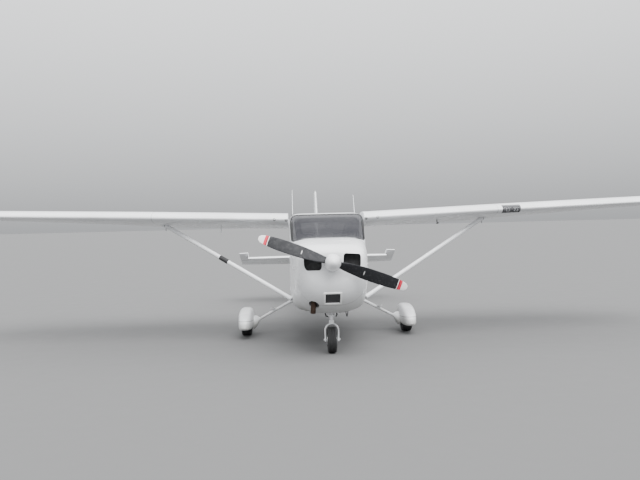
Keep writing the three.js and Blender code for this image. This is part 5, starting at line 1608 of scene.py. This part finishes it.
def make_fairing():
    """The wheel fairing: a hollow teardrop with its joint line, screws and tyre opening."""
    shell = cut(fairing_body("shell", 0), fairing_body("room", 6))
    cut(shell, tyre_space(), rod("axle_room", [(1.05, MAIN["y"], MAIN_Z), (MAIN["x"], MAIN["y"], MAIN_Z)], 0.0195,
                                 sides=32))
    z = over_ground(MAIN["y"], FAIRING_SEAM)
    cut(shell, fairing_layer("groove", -1, 1.5, z - 0.003, z + 0.003))
    lip = cut(fairing_layer("lip", -0.8, 2, z + 0.003, z + 0.012), tyre_space())
    line = cut(fairing_layer("line", 1.4, 3, z - 0.0029, z + 0.0029), tyre_space())
    line.data.materials[0] = MATS["seal"]
    screws = []
    for dy in (-0.38, -0.2, 0.0, 0.2, 0.4):
        half = np.interp(dy / MM, [r[0] for r in FAIRING], [r[1] for r in FAIRING]) * MM
        y = MAIN["y"] + dy
        for s in (1, -1):
            x, at = MAIN["x"] + s * (half - 0.002), over_ground(y, FAIRING_SCREWS)
            screws.append(rod("screw", [(x, y, at), (x + s * 0.002, y, at)], 0.005, "alloy", sides=12))
    return join("fairing", shell, lip, line, *screws)


BOOT = [
    # along the leg from its end, half length fore and aft, half height, raised, shifted aft
    (-0.074, 0.0225, 0.0225, 0.000, 0.000), (-0.066, 0.028, 0.028, -0.002, 0.002),
    (-0.050, 0.044, 0.044, -0.006, 0.006), (-0.026, 0.075, 0.076, -0.012, 0.014),
    (0.000, 0.090, 0.094, -0.012, 0.016), (0.024, 0.100, 0.102, -0.008, 0.016), (0.050, 0.106, 0.104, 0.000, 0.016),
]


def leg_boot():
    """The flared boot from the leg onto the wheel fairing's lower inner side."""
    inner, outer = leg_ends()
    along = unit(outer - inner)

    def shape(name, wall, past):
        rings = []
        for k, (s, fore, tall, rise, aft) in enumerate(BOOT):
            end = -past if k == 0 else past if k == len(BOOT) - 1 else 0
            middle = outer + along * (s + end) + (0, aft, rise)
            rings.append([middle + (0, (fore - wall) * math.cos(t), (tall - wall) * math.sin(t))
                          for t in around(48)])
        return loft(name, rings, "fairing")

    return cut(shape("boot", 0, 0), shape("boot_room", 0.003, 0.004), fairing_body("shell_room", -0.3))


main_at = (MAIN["x"], MAIN["y"], MAIN_Z)
for piece, name, ride, node, slot_name, sharp in (
    (make_leg(), "gear_leg_{}_dressed", "root", "gear_leg_{}", "white_paint", 35),
    (make_tyre("tyre", MAIN, main_at, (0.040, 0.014)), "main_tyre_{}_dressed", "main_wheel_{}", "main_tyre_{}",
     "tyre", 40),
    (make_hub("hub", MAIN, main_at, 0.058, 0.0196, 8), "main_hub_{}_dressed", "main_wheel_{}", "main_hub_{}",
     "wheel_metal", 30),
    (make_fairing(), "wheel_fairing_{}_dressed", "root", "wheel_fairing_{}", "white_composite", 35),
    (leg_boot(), "leg_boot_{}_dressed", "root", None, "white_composite", 40),
):
    both(piece, name, ride, node, sharp)

# Nose gear

FORK = dict(inner=0.076, tube=0.011, wide=0.026)
FORK_TOP = NOSE_Z + NOSE["radius"] + 0.026
TORQUE = dict(reach=0.105, half=0.020, knee=0.010, thick=0.010, pin=0.008, collar=0.046, low=0.006, high=0.030)
OLEO_RADIUS, OLEO_FOOT, CROWN_HEIGHT, OLEO_HEAD = 0.037, 0.045, 0.046, -0.300
NOSE_AXIS = (0, NOSE["y"], 0)


def torque_links(crown_top):
    """The steering collar round the oleo's foot and the two pierced arms that tie it to the crown."""
    foot = crown_top + OLEO_FOOT
    low, high, bore = foot + TORQUE["low"], foot + TORQUE["high"], OLEO_RADIUS + 0.0006
    edge = TORQUE["collar"]
    profile = [(low, bore), (low, edge - 0.002), (low + 0.002, edge), (high - 0.002, edge), (high, edge - 0.002),
               (high, bore)]
    parts = [turned("collar", profile, "z", NOSE_AXIS, sides=48, closed=True)]
    ends = [(NOSE["y"] + 0.026, crown_top - 0.020), (NOSE["y"] + OLEO_RADIUS + 0.004, (low + high) / 2)]
    knee = (NOSE["y"] + TORQUE["reach"], (ends[0][1] + ends[1][1]) / 2)
    thick = TORQUE["thick"] / 2
    for y, z in ends:
        arm = loft("arm", [
            [(-h, py, pz - thick), (h, py, pz - thick), (h, py, pz + thick), (-h, py, pz + thick)]
            for py, pz, h in ((y, z, TORQUE["half"]), (*knee, TORQUE["knee"]))
        ])
        mid_y, mid_z = (y + knee[0]) / 2, (z + knee[1]) / 2
        cut(arm, rod("lightening", [(0, mid_y, mid_z - 0.05), (0, mid_y, mid_z + 0.05)], 0.0065, sides=20))
        rounded_edges(arm, 0.0015, 2)
        parts.append(arm)
    pin = TORQUE["knee"] + 0.005
    parts.append(rod("knee_pin", [(-pin, *knee), (pin, *knee)], TORQUE["pin"], "steel", sides=20))
    return parts


def make_fork():
    half = FORK["inner"] + FORK["tube"]
    bend_z = FORK_TOP - half + FORK["tube"]
    foot, y = NOSE_Z - 0.020, NOSE["y"]
    points = [(-half, y, foot), (-half, y, foot + 0.05)]
    points += [(half * math.cos(t), y, bend_z + half * math.sin(t)) for t in np.linspace(math.pi, 0, 25)]
    points = np.array([*points, (half, y, foot + 0.05), (half, y, foot)])
    rings = []
    for i, p in enumerate(points):
        ahead = unit(points[min(i + 1, len(points) - 1)] - points[max(i - 1, 0)])
        out = np.array((-ahead[2], 0, ahead[0]))
        rings.append([p + out * (FORK["tube"] * math.cos(t)) + (0, FORK["wide"] * math.sin(t), 0) for t in around(24)])
    top = bend_z + half
    crown = [(top - 0.004, 0.034), (top + 0.004, 0.036), (top + 0.040, 0.032), (top + 0.046, 0.029),
             (top + 0.046, 0.001)]
    parts = [
        loft("arch", rings, "gloss", sharp=40),
        turned("crown", crown, "z", NOSE_AXIS, sides=48),
        rod("piston", [(0, y, top + 0.03), (0, y, top + 0.150)], 0.024, "chrome", sides=40),
        rod("axle", [(-half - 0.010, y, NOSE_Z), (half + 0.010, y, NOSE_Z)], 0.011, "steel"),
    ]
    for s in (1, -1):
        near, middle, far = (s * (half + FORK["tube"] + out) for out in (0, 0.005, 0.014))
        parts.append(rod("washer", [(near, y, NOSE_Z), (middle, y, NOSE_Z)], 0.019, "alloy", sides=24))
        parts.append(rod("nut", [(middle, y, NOSE_Z), (far, y, NOSE_Z)], 0.014, "steel", sides=6))
    return join("nose_fork_dressed", *parts, *torque_links(top + CROWN_HEIGHT)), top


nose_fork, fork_top = make_fork()


def make_oleo():
    low, bore_top = fork_top + CROWN_HEIGHT + OLEO_FOOT, fork_top + 0.1503
    profile = [(low, 0.026), (low, OLEO_RADIUS), (OLEO_HEAD, OLEO_RADIUS), (OLEO_HEAD, 0.001), (bore_top, 0.001),
               (bore_top, 0.026)]
    tube = turned("oleo", profile, "z", NOSE_AXIS, "alloy", sides=48, closed=True)
    arms = [block("arm", (-0.030, NOSE["y"], z - 0.020), (0.030, -0.0003, z + 0.020), "steel", bevel=0.004)
            for z in (-0.330, -0.610)]
    return join("nose_oleo_dressed", tube, *arms)


def make_exhaust():
    top, tip = np.array((-0.232, -0.590, -0.3853)), np.array((-0.250, -0.562, -0.632))
    along = unit(tip - top)
    side = unit(np.cross(along, (0, 1, 0)))
    up = np.cross(along, side)
    wall = [(0.0, 0.033), (0.75, 0.033), (0.995, 0.0335), (1.0, 0.033), (1.0, 0.0305), (0.75, 0.030)]
    return loft("exhaust_dressed", [
        [top + (tip - top) * f + side * (r * math.cos(t)) + up * (r * math.sin(t)) for t in around(40)]
        for f, r in wall
    ], "exhaust", sharp=40)


nose_at = (0, NOSE["y"], NOSE_Z)
nose_tyre = make_tyre("nose_tyre_dressed", NOSE, nose_at, (0.030, 0.010))
nose_hub = make_hub("nose_hub_dressed", NOSE, nose_at, 0.070, 0.0116, 6)
done(nose_fork, "nose_fork_dressed", "nose_fork", ["nose_fork"], 35)
done(make_oleo(), "nose_oleo_dressed", "root", ["nose_oleo"], 35)
done(nose_tyre, "nose_tyre_dressed", "nose_wheel", ["nose_tyre"], 40)
done(nose_hub, "nose_hub_dressed", "nose_wheel", ["nose_hub"], 30)
done(make_exhaust(), "exhaust_pipe_dressed", "root", ["exhaust_pipe"], 40)

# Aerials

AERIAL_Y, AERIAL_BASE = 1.524, 0.795
WHIPS = [
    # side, span x, height, lean aft
    ("left", 0.490, 0.300, 0.170), ("right", -0.495, 0.410, 0.230),
]
for side, x, height, lean in WHIPS:
    start = np.array((x, AERIAL_Y, AERIAL_BASE))
    rise = np.array((x, AERIAL_Y + lean, AERIAL_BASE + 0.030 + height)) - start
    foot = [(0.700, 0.022), (0.806, 0.0165), (0.810, 0.0145), (0.8105, 0.0065)]
    foot = cut(turned("foot", foot, "z", (x, AERIAL_Y, 0), "seal", sides=32), hull_solid("room", 1300, 1760, -0.3))
    mast = rod("mast", [start + rise * f for f in (0, 0.06, 0.5, 1)], [0.005, 0.0042, 0.0034, 0.0025], sides=12)
    done(join("aerial", foot, mast), f"aerial_{side}_dressed", "root", [f"aerial_{side}"], 40)

# Cabin interior

PANEL_BACK, COAMING_TOP, PANEL_LOW, PANEL_HALF = 0.425, 0.286, 0.040, 0.350
SEAT_X = 0.245
YOKE = dict(x=0.235, z=0.165, reach=0.190, half=0.135, grip=0.014, top=0.260, bar=0.145)


def dial(x, z, radius, turn):
    """A round instrument: bezel, dark face, ticks round its edge and a pointer."""
    y, edge, inner = PANEL_BACK - 0.003, radius - 0.006, radius - 0.0062
    bezel = [(y, edge), (y, radius), (y + 0.004, radius), (y + 0.006, radius - 0.002), (y + 0.006, edge)]
    face = [(y, 0.001), (y, inner), (y + 0.0025, inner), (y + 0.0025, 0.001)]
    parts = [turned("bezel", bezel, "y", (x, 0, z), "black", sides=36, closed=True),
             turned("face", face, "y", (x, 0, z), "dial", sides=36)]

    def hand(angle, low, high, width, above):
        c, s = math.cos(angle) * radius, math.sin(angle) * radius
        ends = [(x + share * c, y + above, z + share * s) for share in (low, high)]
        return rod("hand", ends, width, "bright", sides=6)

    parts += [hand(k * math.pi / 6, 0.60, 0.74, 0.0009, 0.0027) for k in range(12)]
    return [*parts, hand(turn, -0.124, 0.62, [0.0013, 0.0006], 0.0035)]


def knob(x, z, radius, out, material="black", stem=0.0):
    y = PANEL_BACK - 0.003
    base, tip = y + stem, y + stem + out
    profile = [(base, 0.001), (base, radius * 0.8), (base + 0.2 * out, radius), (base + 0.9 * out, radius * 0.92),
               (tip, radius * 0.7), (tip, 0.001)]
    parts = [turned("knob", profile, "y", (x, 0, z), material, sides=24)]
    if stem:
        parts.append(rod("stem", [(x, y, z), (x, base + 0.002, z)], 0.004, "chrome", sides=12))
    return parts


def control_wheel(x):
    """A control column with its U-shaped wheel."""
    back, y, z = PANEL_BACK - 0.002, PANEL_BACK + YOKE["reach"], YOKE["z"]
    column = rod("column", [(x, back, z), (x, y, z)], 0.0128, "chrome", sides=28)
    collar = turned("collar", [(back, 0.0135), (back, 0.024), (back + 0.008, 0.022), (back + 0.008, 0.0135)], "y",
                    (x, 0, z), "black", sides=32, closed=True)
    half, top, bar = YOKE["half"], YOKE["top"], YOKE["bar"]
    path, radii = [], []
    for k in range(25):
        t = math.pi * k / 24
        c, s = math.cos(t), math.sin(t)
        across = -(half + 0.004) * math.copysign(abs(c) ** 0.35, c)
        path.append((x + across, y, top - 0.020 - (top - 0.020 - bar) * s ** 0.5))
        radii.append(YOKE["grip"] if abs(c) > 0.75 else 0.0115)
    path = [(x - half - 0.008, y, top), *path, (x + half + 0.008, y, top)]
    wheel = rod("wheel", path, [0.011, *radii, 0.011], "black", sides=18)
    hub = block("hub", (x - 0.038, y - 0.012, bar - 0.012), (x + 0.038, y + 0.014, z + 0.022), "black", bevel=0.006)
    return [column, collar, wheel, hub]


# dials as x, z, radius, the pointer's turn; plates and boxes as x, z from corner to corner
FLIGHT_DIALS = [(x, z, 0.036, 0.4 + 1.7 * k)
                for k, (z, x) in enumerate((z, x) for z in (0.226, 0.098) for x in (0.292, 0.207, 0.122))]
ENGINE_DIALS = [(x, 0.228, 0.029, 10.6 + 1.1 * k) for k, x in enumerate((-0.165, -0.232, -0.299))]
RADIO_HEIGHTS = (0.232, 0.180, 0.132, 0.088)


def instrument_panel():
    """The coaming and panel with flight and engine dials, a radio stack, switches, knobs and wheels."""
    half, back = PANEL_HALF, PANEL_BACK

    def raised(name, x0, z0, x1, z1, low, high, material, bevel=0.0):
        return block(name, (x0, back + low, z0), (x1, back + high, z1), material, bevel=bevel)

    parts = [
        block("shelf", (-half, 0.0053, COAMING_TOP - 0.016), (half, back, COAMING_TOP), "panel", bevel=0.007),
        raised("face", -half, PANEL_LOW, half, COAMING_TOP - 0.0155, -0.026, -0.003, "panel", 0.005),
        raised("plate", 0.075, 0.048, 0.338, 0.264, -0.0031, -0.0015, "black", 0.0006),
        raised("plate", -0.338, 0.048, -0.125, 0.264, -0.0031, -0.0015, "black", 0.0006),
        raised("glove_box", -0.325, 0.060, -0.145, 0.175, -0.0026, 0.002, "panel", 0.003),
        *knob(-0.235, 0.155, 0.008, 0.008),
        *knob(0.020, 0.052, 0.015, 0.022, "black", 0.055),
        *knob(-0.035, 0.052, 0.013, 0.020, "red", 0.045),
    ]
    for place in FLIGHT_DIALS + ENGINE_DIALS:
        parts += dial(*place)
    for k, z in enumerate(RADIO_HEIGHTS):
        parts.append(raised("radio", -0.112, z - 0.021, 0.062, z + 0.021, -0.006, 0.003, "black", 0.003))
        parts.append(raised("window", -0.070, z - 0.004, 0.026, z + 0.013, 0.0028, 0.0036, "dial"))
        for i in range(5):
            x = -0.062 + i * 0.020
            parts.append(raised("key", x, z - 0.016, x + 0.012, z - 0.009, 0.0028, 0.0048, "trim"))
        for x in (-0.094, 0.044):
            parts += knob(x, z - 0.004, 0.0095 - 0.001 * k, 0.016)
    for i in range(8):
        x = 0.105 + i * 0.027
        parts.append(raised("switch", x - 0.007, 0.046, x + 0.007, 0.058, -0.0025, 0.004, "trim", 0.002))
    for x in (YOKE["x"], -YOKE["x"]):
        parts += control_wheel(x)
    return join("instrument_panel_dressed", *parts)


done(instrument_panel(), "instrument_panel_dressed", "root", ["instrument_panel"])


def pedals():
    """Rudder pedals: a cross tube per pair and a treaded plate on each arm."""
    parts = []
    for x in (0.235, -0.235):
        parts.append(rod("tube", [(x - 0.15, 0.200, -0.500), (x + 0.15, 0.200, -0.500)], 0.010, "steel", sides=16))
        for dx in (-0.085, 0.085):
            parts.append(rod("arm", [(x + dx, 0.200, -0.500), (x + dx, 0.225, -0.420)], 0.007, "steel", sides=12))
            parts.append(block("plate", (x + dx - 0.036, 0.218, -0.470), (x + dx + 0.036, 0.228, -0.350), "black",
                               bevel=0.003))
            for k in range(4):
                z = -0.452 + k * 0.026
                parts.append(block("tread", (x + dx - 0.030, 0.2275, z), (x + dx + 0.030, 0.231, z + 0.010), "seal"))
        for dx in (-0.15, 0.15):
            parts.append(block("foot", (x + dx - 0.010, 0.185, -0.5597), (x + dx + 0.010, 0.215, -0.488), "steel",
                               bevel=0.002))
    return join("pedals", *parts)


done(pedals(), "pedals", "root")


def screen_posts():
    """Light side posts behind the windscreen, fresh-air vents in its corners and a compass."""
    parts = []
    vent = [(0.585, 0.026), (0.585, 0.033), (0.592, 0.035), (0.700, 0.035), (0.720, 0.028), (0.720, 0.001),
            (0.600, 0.001), (0.600, 0.026)]
    for s in (1, -1):
        parts.append(rod("post", [(s * 0.488, 0.575, 0.610), (s * 0.468, 0.420, 0.470), (s * 0.446, 0.215, 0.320)],
                         [0.015, 0.015, 0.014], "post", sides=20))
        parts.append(rod("trim", [(s * 0.515, 0.590, 0.640), (s * 0.502, 0.420, 0.500), (s * 0.482, 0.215, 0.330)],
                         [0.018, 0.017, 0.017], "seal", sides=20))
        parts.append(turned("vent", vent, "y", (s * 0.455, 0, 0.655), "post", sides=36, closed=True))
        low, high = sorted((s * 0.455, s * 0.508))
        parts.append(block("vent_arm", (low, 0.625, 0.640), (high, 0.675, 0.670), "post", bevel=0.004))
    parts.append(rod("stalk", [(0, 0.530, 0.640), (0, 0.520, 0.575)], 0.005, "black", sides=12))
    parts.append(block("compass", (-0.030, 0.490, 0.528), (0.030, 0.540, 0.578), "panel", bevel=0.012))
    parts.append(block("card", (-0.022, 0.4895, 0.541), (0.022, 0.4925, 0.552), "post"))
    return join("screen_posts", *parts)


def screen_shade_band():
    """Painted shade: a dark band round the windscreen's edge where it wraps back to the doors, where the glass looks
    dark in shadow.
    """
    band = meet(hull_pipe("band", -60, 640, 3.6, 4.7, "seal"), screen_space(-0.002))
    return cut(band, block("clear", (-0.488, -0.2, 0.0), (0.490, 1.0, 1.0)),
               block("above", (-0.7, -0.2, 0.612), (0.7, 1.0, 1.0)))


done(screen_posts(), "screen_posts", "root", sharp=35)
# the windscreen's dark edge band is painted shade
done(screen_shade_band(), "windscreen_shade_band", "root", sharp=30)


CLOTH_PRESSURE, CLOTH_FRAMES = 4, 20


def stuffed(pads):
    """Swells padded forms: Blender's cloth under pressure, no point moving further than the pad's cap.

    pads: (object, voxel size, cap, height of the seat pan that the pad rests on) tuples
    """
    scene = bpy.context.scene
    starts = []
    for obj, voxel, _, _ in pads:
        material = obj.data.materials[0]
        mod = obj.modifiers.new("remesh", "REMESH")
        mod.mode = "VOXEL"
        mod.voxel_size = voxel
        apply_all(obj)
        if not obj.data.materials:
            obj.data.materials.append(material)
        starts.append(vectors(obj.data, "co"))
        mod = obj.modifiers.new("cloth", "CLOTH")
        mod.settings.use_pressure = True
        mod.settings.uniform_pressure_force = CLOTH_PRESSURE
        mod.settings.effector_weights.gravity = 0
        mod.collision_settings.use_collision = False
        mod.point_cache.frame_start, mod.point_cache.frame_end = 1, CLOTH_FRAMES
    for frame_number in range(1, CLOTH_FRAMES + 1):
        scene.frame_set(frame_number)
    graph = bpy.context.evaluated_depsgraph_get()
    for (obj, _, cap, rest), start in zip(pads, starts):
        moved = vectors(obj.evaluated_get(graph).data, "co") - start
        far = np.linalg.norm(moved, axis=1)
        obj.modifiers.clear()
        made = start + moved * np.minimum(1, cap / np.maximum(far, 1e-9))[:, None]
        if rest is not None:
            made[:, 2] = np.maximum(made[:, 2], rest)
        obj.data.vertices.foreach_set("co", made.ravel())
        obj.data.update()
        obj.modifiers.new("finer", "SUBSURF").levels = 1
        apply_all(obj)
        soften(obj, 80)
    scene.frame_set(1)


def sewn(obj, seams, depth=0.005, width=0.009):
    """Draws seams into a pad where it crosses planes, given as (normal, place)."""
    mesh = obj.data
    co, no = vectors(mesh, "co"), vectors(mesh, "normal")
    for plane, place in seams:
        plane = unit(np.array(plane, float))
        near = np.clip(1 - np.abs(co @ plane - place) / width, 0, 1)
        near = near * near * (3 - 2 * near)
        facing = np.clip(1.6 - 2.2 * np.abs(no @ plane), 0, 1)
        co = co - no * (depth * near * facing)[:, None]
    mesh.vertices.foreach_set("co", co.ravel())
    mesh.update()


def pad(name, outline, low, high, round_by):
    obj = prism(name, rounded(outline, round_by), "x", low, high, "seat")
    rounded_edges(obj, round_by * 0.8, 4, 40)
    return obj


BACK_LEAN = (0, 0.270, 0.963)
BACK_ACROSS = unit(np.cross((1, 0, 0), BACK_LEAN))
# outlines from the side, as (y, z)
CUSHION = [(0.925, -0.388), (1.288, -0.388), (1.300, -0.318), (1.215, -0.300), (0.945, -0.290), (0.916, -0.315)]
BACK = [(1.286, -0.240), (1.370, -0.290), (1.524, 0.268), (1.506, 0.298), (1.462, 0.295)]
HEADREST = [(1.452, 0.362), (1.508, 0.362), (1.508, 0.480), (1.492, 0.497), (1.466, 0.497), (1.452, 0.480)]
BENCH = [(1.664, -0.385), (2.030, -0.385), (2.045, -0.290), (1.955, -0.283), (1.685, -0.278), (1.655, -0.300)]
BENCH_BACK = [(2.010, -0.225), (2.098, -0.275), (2.212, 0.160), (2.196, 0.184), (2.150, 0.180)]
# height above which the headrests take the pale cloth of the painted highlight
HEADREST_HIGHLIGHT_FROM = 0.462

seat_pad = pad("seat_pad", CUSHION, 0.058, 0.432, 0.020)
back_pad = pad("back_pad", BACK, 0.060, 0.430, 0.018)
head_pad = pad("head_pad", HEADREST, SEAT_X - 0.105, SEAT_X + 0.105, 0.014)
bench_pad = pad("bench_pad", BENCH, -0.412, 0.412, 0.020)
bench_back_pad = pad("bench_back_pad", BENCH_BACK, -0.412, 0.412, 0.018)
stuffed([
    (seat_pad, 0.010, 0.022, -0.386), (back_pad, 0.010, 0.020, None), (head_pad, 0.007, 0.012, None),
    (bench_pad, 0.012, 0.020, -0.383), (bench_back_pad, 0.012, 0.018, None),
])
side_seams = [((1, 0, 0), SEAT_X - 0.075), ((1, 0, 0), SEAT_X + 0.075)]
bench_seams = [((1, 0, 0), -0.140), ((1, 0, 0), 0.140)]
sewn(seat_pad, [*side_seams, ((0, 1, 0), 1.080), ((0, 0, 1), -0.342)])
sewn(back_pad, [*side_seams, (BACK_LEAN, 0.475), (BACK_ACROSS, float(np.dot(BACK_ACROSS, (0, 1.405, 0.0))))])
sewn(head_pad, [((0, 1, 0), 1.480)], 0.003, 0.006)
sewn(bench_pad, [*bench_seams, ((0, 0, 1), -0.335)], 0.006, 0.012)
sewn(bench_back_pad, bench_seams, 0.006, 0.012)
# the headrests' tops get the pale cloth: a painted highlight where light falls on them
head_pad.data.materials.append(MATS["seat_top"])
for face in head_pad.data.polygons:
    if face.center.z > HEADREST_HIGHLIGHT_FROM:
        face.material_index = 1

SEAT_FLOOR = FLOOR_Z + 0.0003


def seat_hinge(name, outline, x):
    return prism(name, rounded(outline, 0.02), "x", x - 0.004, x + 0.004, "black")


def seat_frame():
    """Pedestal, floor rails, side hinges and head-rest posts of a front seat."""
    parts = [block("pedestal", (SEAT_X - 0.160, 0.965, SEAT_FLOOR), (SEAT_X + 0.160, 1.270, -0.3875), "panel",
                   bevel=0.012)]
    hinge = [(1.235, -0.375), (1.325, -0.375), (1.400, -0.190), (1.345, -0.180)]
    for s in (-1, 1):
        rail, post = SEAT_X + s * 0.130, SEAT_X + s * 0.062
        parts.append(block("rail", (rail - 0.014, 0.880, SEAT_FLOOR), (rail + 0.014, 1.420, SEAT_FLOOR + 0.016),
                           "alloy", bevel=0.002))
        parts.append(seat_hinge("hinge", hinge, SEAT_X + s * 0.203))
        parts.append(rod("post", [(post, 1.480, 0.275), (post, 1.480, 0.372)], 0.007, "chrome", sides=20))
    lever = [(0.150, 0.905, -0.405), (0.100, 0.885, -0.410), (-0.100, 0.885, -0.410), (-0.150, 0.905, -0.405)]
    parts.append(rod("lever", [(SEAT_X + x, y, z) for x, y, z in lever], 0.006, "chrome", sides=12))
    return join("seat_frame", *parts)


both(seat_pad, "seat_cushion_{}")
both(back_pad, "seat_back_{}")
both(head_pad, "headrest_{}")
both(seat_frame(), "seat_frame_{}", "root", "seat_{}")

bench_side = [(1.960, -0.380), (2.060, -0.380), (2.170, -0.020), (2.100, -0.010)]
bench_base = block("base", (-0.270, 1.700, SEAT_FLOOR), (0.270, 2.000, -0.3845), "trim", bevel=0.012)
bench_sides = [seat_hinge("side", bench_side, x) for x in (-0.408, 0.408)]
done(join("rear_bench_frame", bench_base, *bench_sides), "rear_bench_frame", "root", ["rear_bench"])
for piece, name in ((bench_pad, "bench_cushion"), (bench_back_pad, "bench_back")):
    done(piece, name, "root")

for node, finish in (("engine_block", "iron"), ("firewall", "steel"), ("elevator_tube", "steel")):
    for material_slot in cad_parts[node].material_slots:
        material_slot.material = MATS[finish]

# Small pieces under the wing

def under_wing(x, u):
    return wing_point(x, u, camber_at(u, WING_CAMBER) - half_thickness(u, WING_RATIO))


def tie_down():
    """An eye bolt just outboard of the strut's top."""
    x, y, z = under_wing(2.420, 0.30)
    ring = [(x + 0.004 * math.cos(t), 0.015 + 0.004 * math.sin(t)) for t in around(12)]
    return join("tie_down",
                rod("shank", [(x, y, z + 0.012), (x, y, z - 0.055)], 0.005, "steel", sides=12),
                rod("nut", [(x, y, z + 0.004), (x, y, z - 0.006)], 0.012, "steel", sides=6),
                turned("eye", ring, "x", (0, y, z - 0.068), "steel", sides=32, closed=True))


def pitot():
    """A flat mast with the forward-facing pressure head, under the left wing."""
    top = under_wing(1.700, 0.22)
    section = ((1, 0), (0.5, 0.8), (-0.5, 0.8), (-1, 0), (-0.5, -0.8), (0.5, -0.8))
    mast = loft("mast", [[top + (0.006 * c, dy + 0.022 * w, dz) for c, w in section]
                         for dy, dz in ((0, 0.006), (-0.010, -0.050))], "seal")
    path = ((0, 0.030, -0.052), (0, 0.020, -0.054), (0, -0.100, -0.056), (0, -0.125, -0.056))
    head = rod("head", [top + p for p in path], [0.003, 0.0085, 0.0085, 0.0055], "seal", sides=20)
    return join("pitot", mast, head)


def vent_probe():
    """The fuel vent's tube behind the right strut."""
    top = under_wing(1.585, 0.30)
    path = ((0, 0, 0.006), (0, 0, -0.100), (0, 0.004, -0.112))
    probe = rod("probe", [top + p for p in path], [0.0065, 0.0055, 0.004])
    foot = rod("foot", [top + (0, 0, 0.006), top + (0, 0, -0.004)], 0.018, sides=24)
    return turned_over(join("vent_probe", probe, foot))


done(pitot(), "pitot_head", "root")
done(vent_probe(), "vent_probe", "root")
both(tie_down(), "tie_down_{}")

# Floor and light

FLOOR_HALF = 600
SKY_LOW, SKY_HIGH, SKY_HIGH_AT, SKY_STRENGTH = (0.168, 0.172, 0.177, 1), (0.97, 0.985, 1.0, 1), 0.7, 3.0
SUN_POWER, SUN_SPREAD, SUN_TURN = 4.8, math.radians(50), [math.radians(a) for a in (32, 8, 12)]
floor_corners = [(x, y, 0) for x, y in box_outline(-FLOOR_HALF, -FLOOR_HALF, FLOOR_HALF, FLOOR_HALF)]
body("ground_sheet", floor_corners, [(0, 1, 2, 3)], "floor", ROW)


def make_light():
    world = bpy.data.worlds.new("soft_studio")
    bpy.context.scene.world = world
    world.use_nodes = True
    tree = world.node_tree
    back = tree.nodes["Background"]
    coords = tree.nodes.new("ShaderNodeTexCoord")
    parts = tree.nodes.new("ShaderNodeSeparateXYZ")
    ramp = tree.nodes.new("ShaderNodeValToRGB")
    tree.links.new(coords.outputs["Generated"], parts.inputs[0])
    tree.links.new(parts.outputs["Z"], ramp.inputs[0])
    tree.links.new(ramp.outputs[0], back.inputs["Color"])
    for band, at, colour in zip(ramp.color_ramp.elements, (0.0, SKY_HIGH_AT), (SKY_LOW, SKY_HIGH)):
        band.position, band.color = at, colour
    back.inputs["Strength"].default_value = SKY_STRENGTH
    sun = bpy.data.lights.new("soft_sun", "SUN")
    sun.energy, sun.angle = SUN_POWER, SUN_SPREAD
    lamp = bpy.data.objects.new("soft_sun", sun)
    lamp.rotation_euler = SUN_TURN
    bpy.context.scene.collection.objects.link(lamp)


make_light()
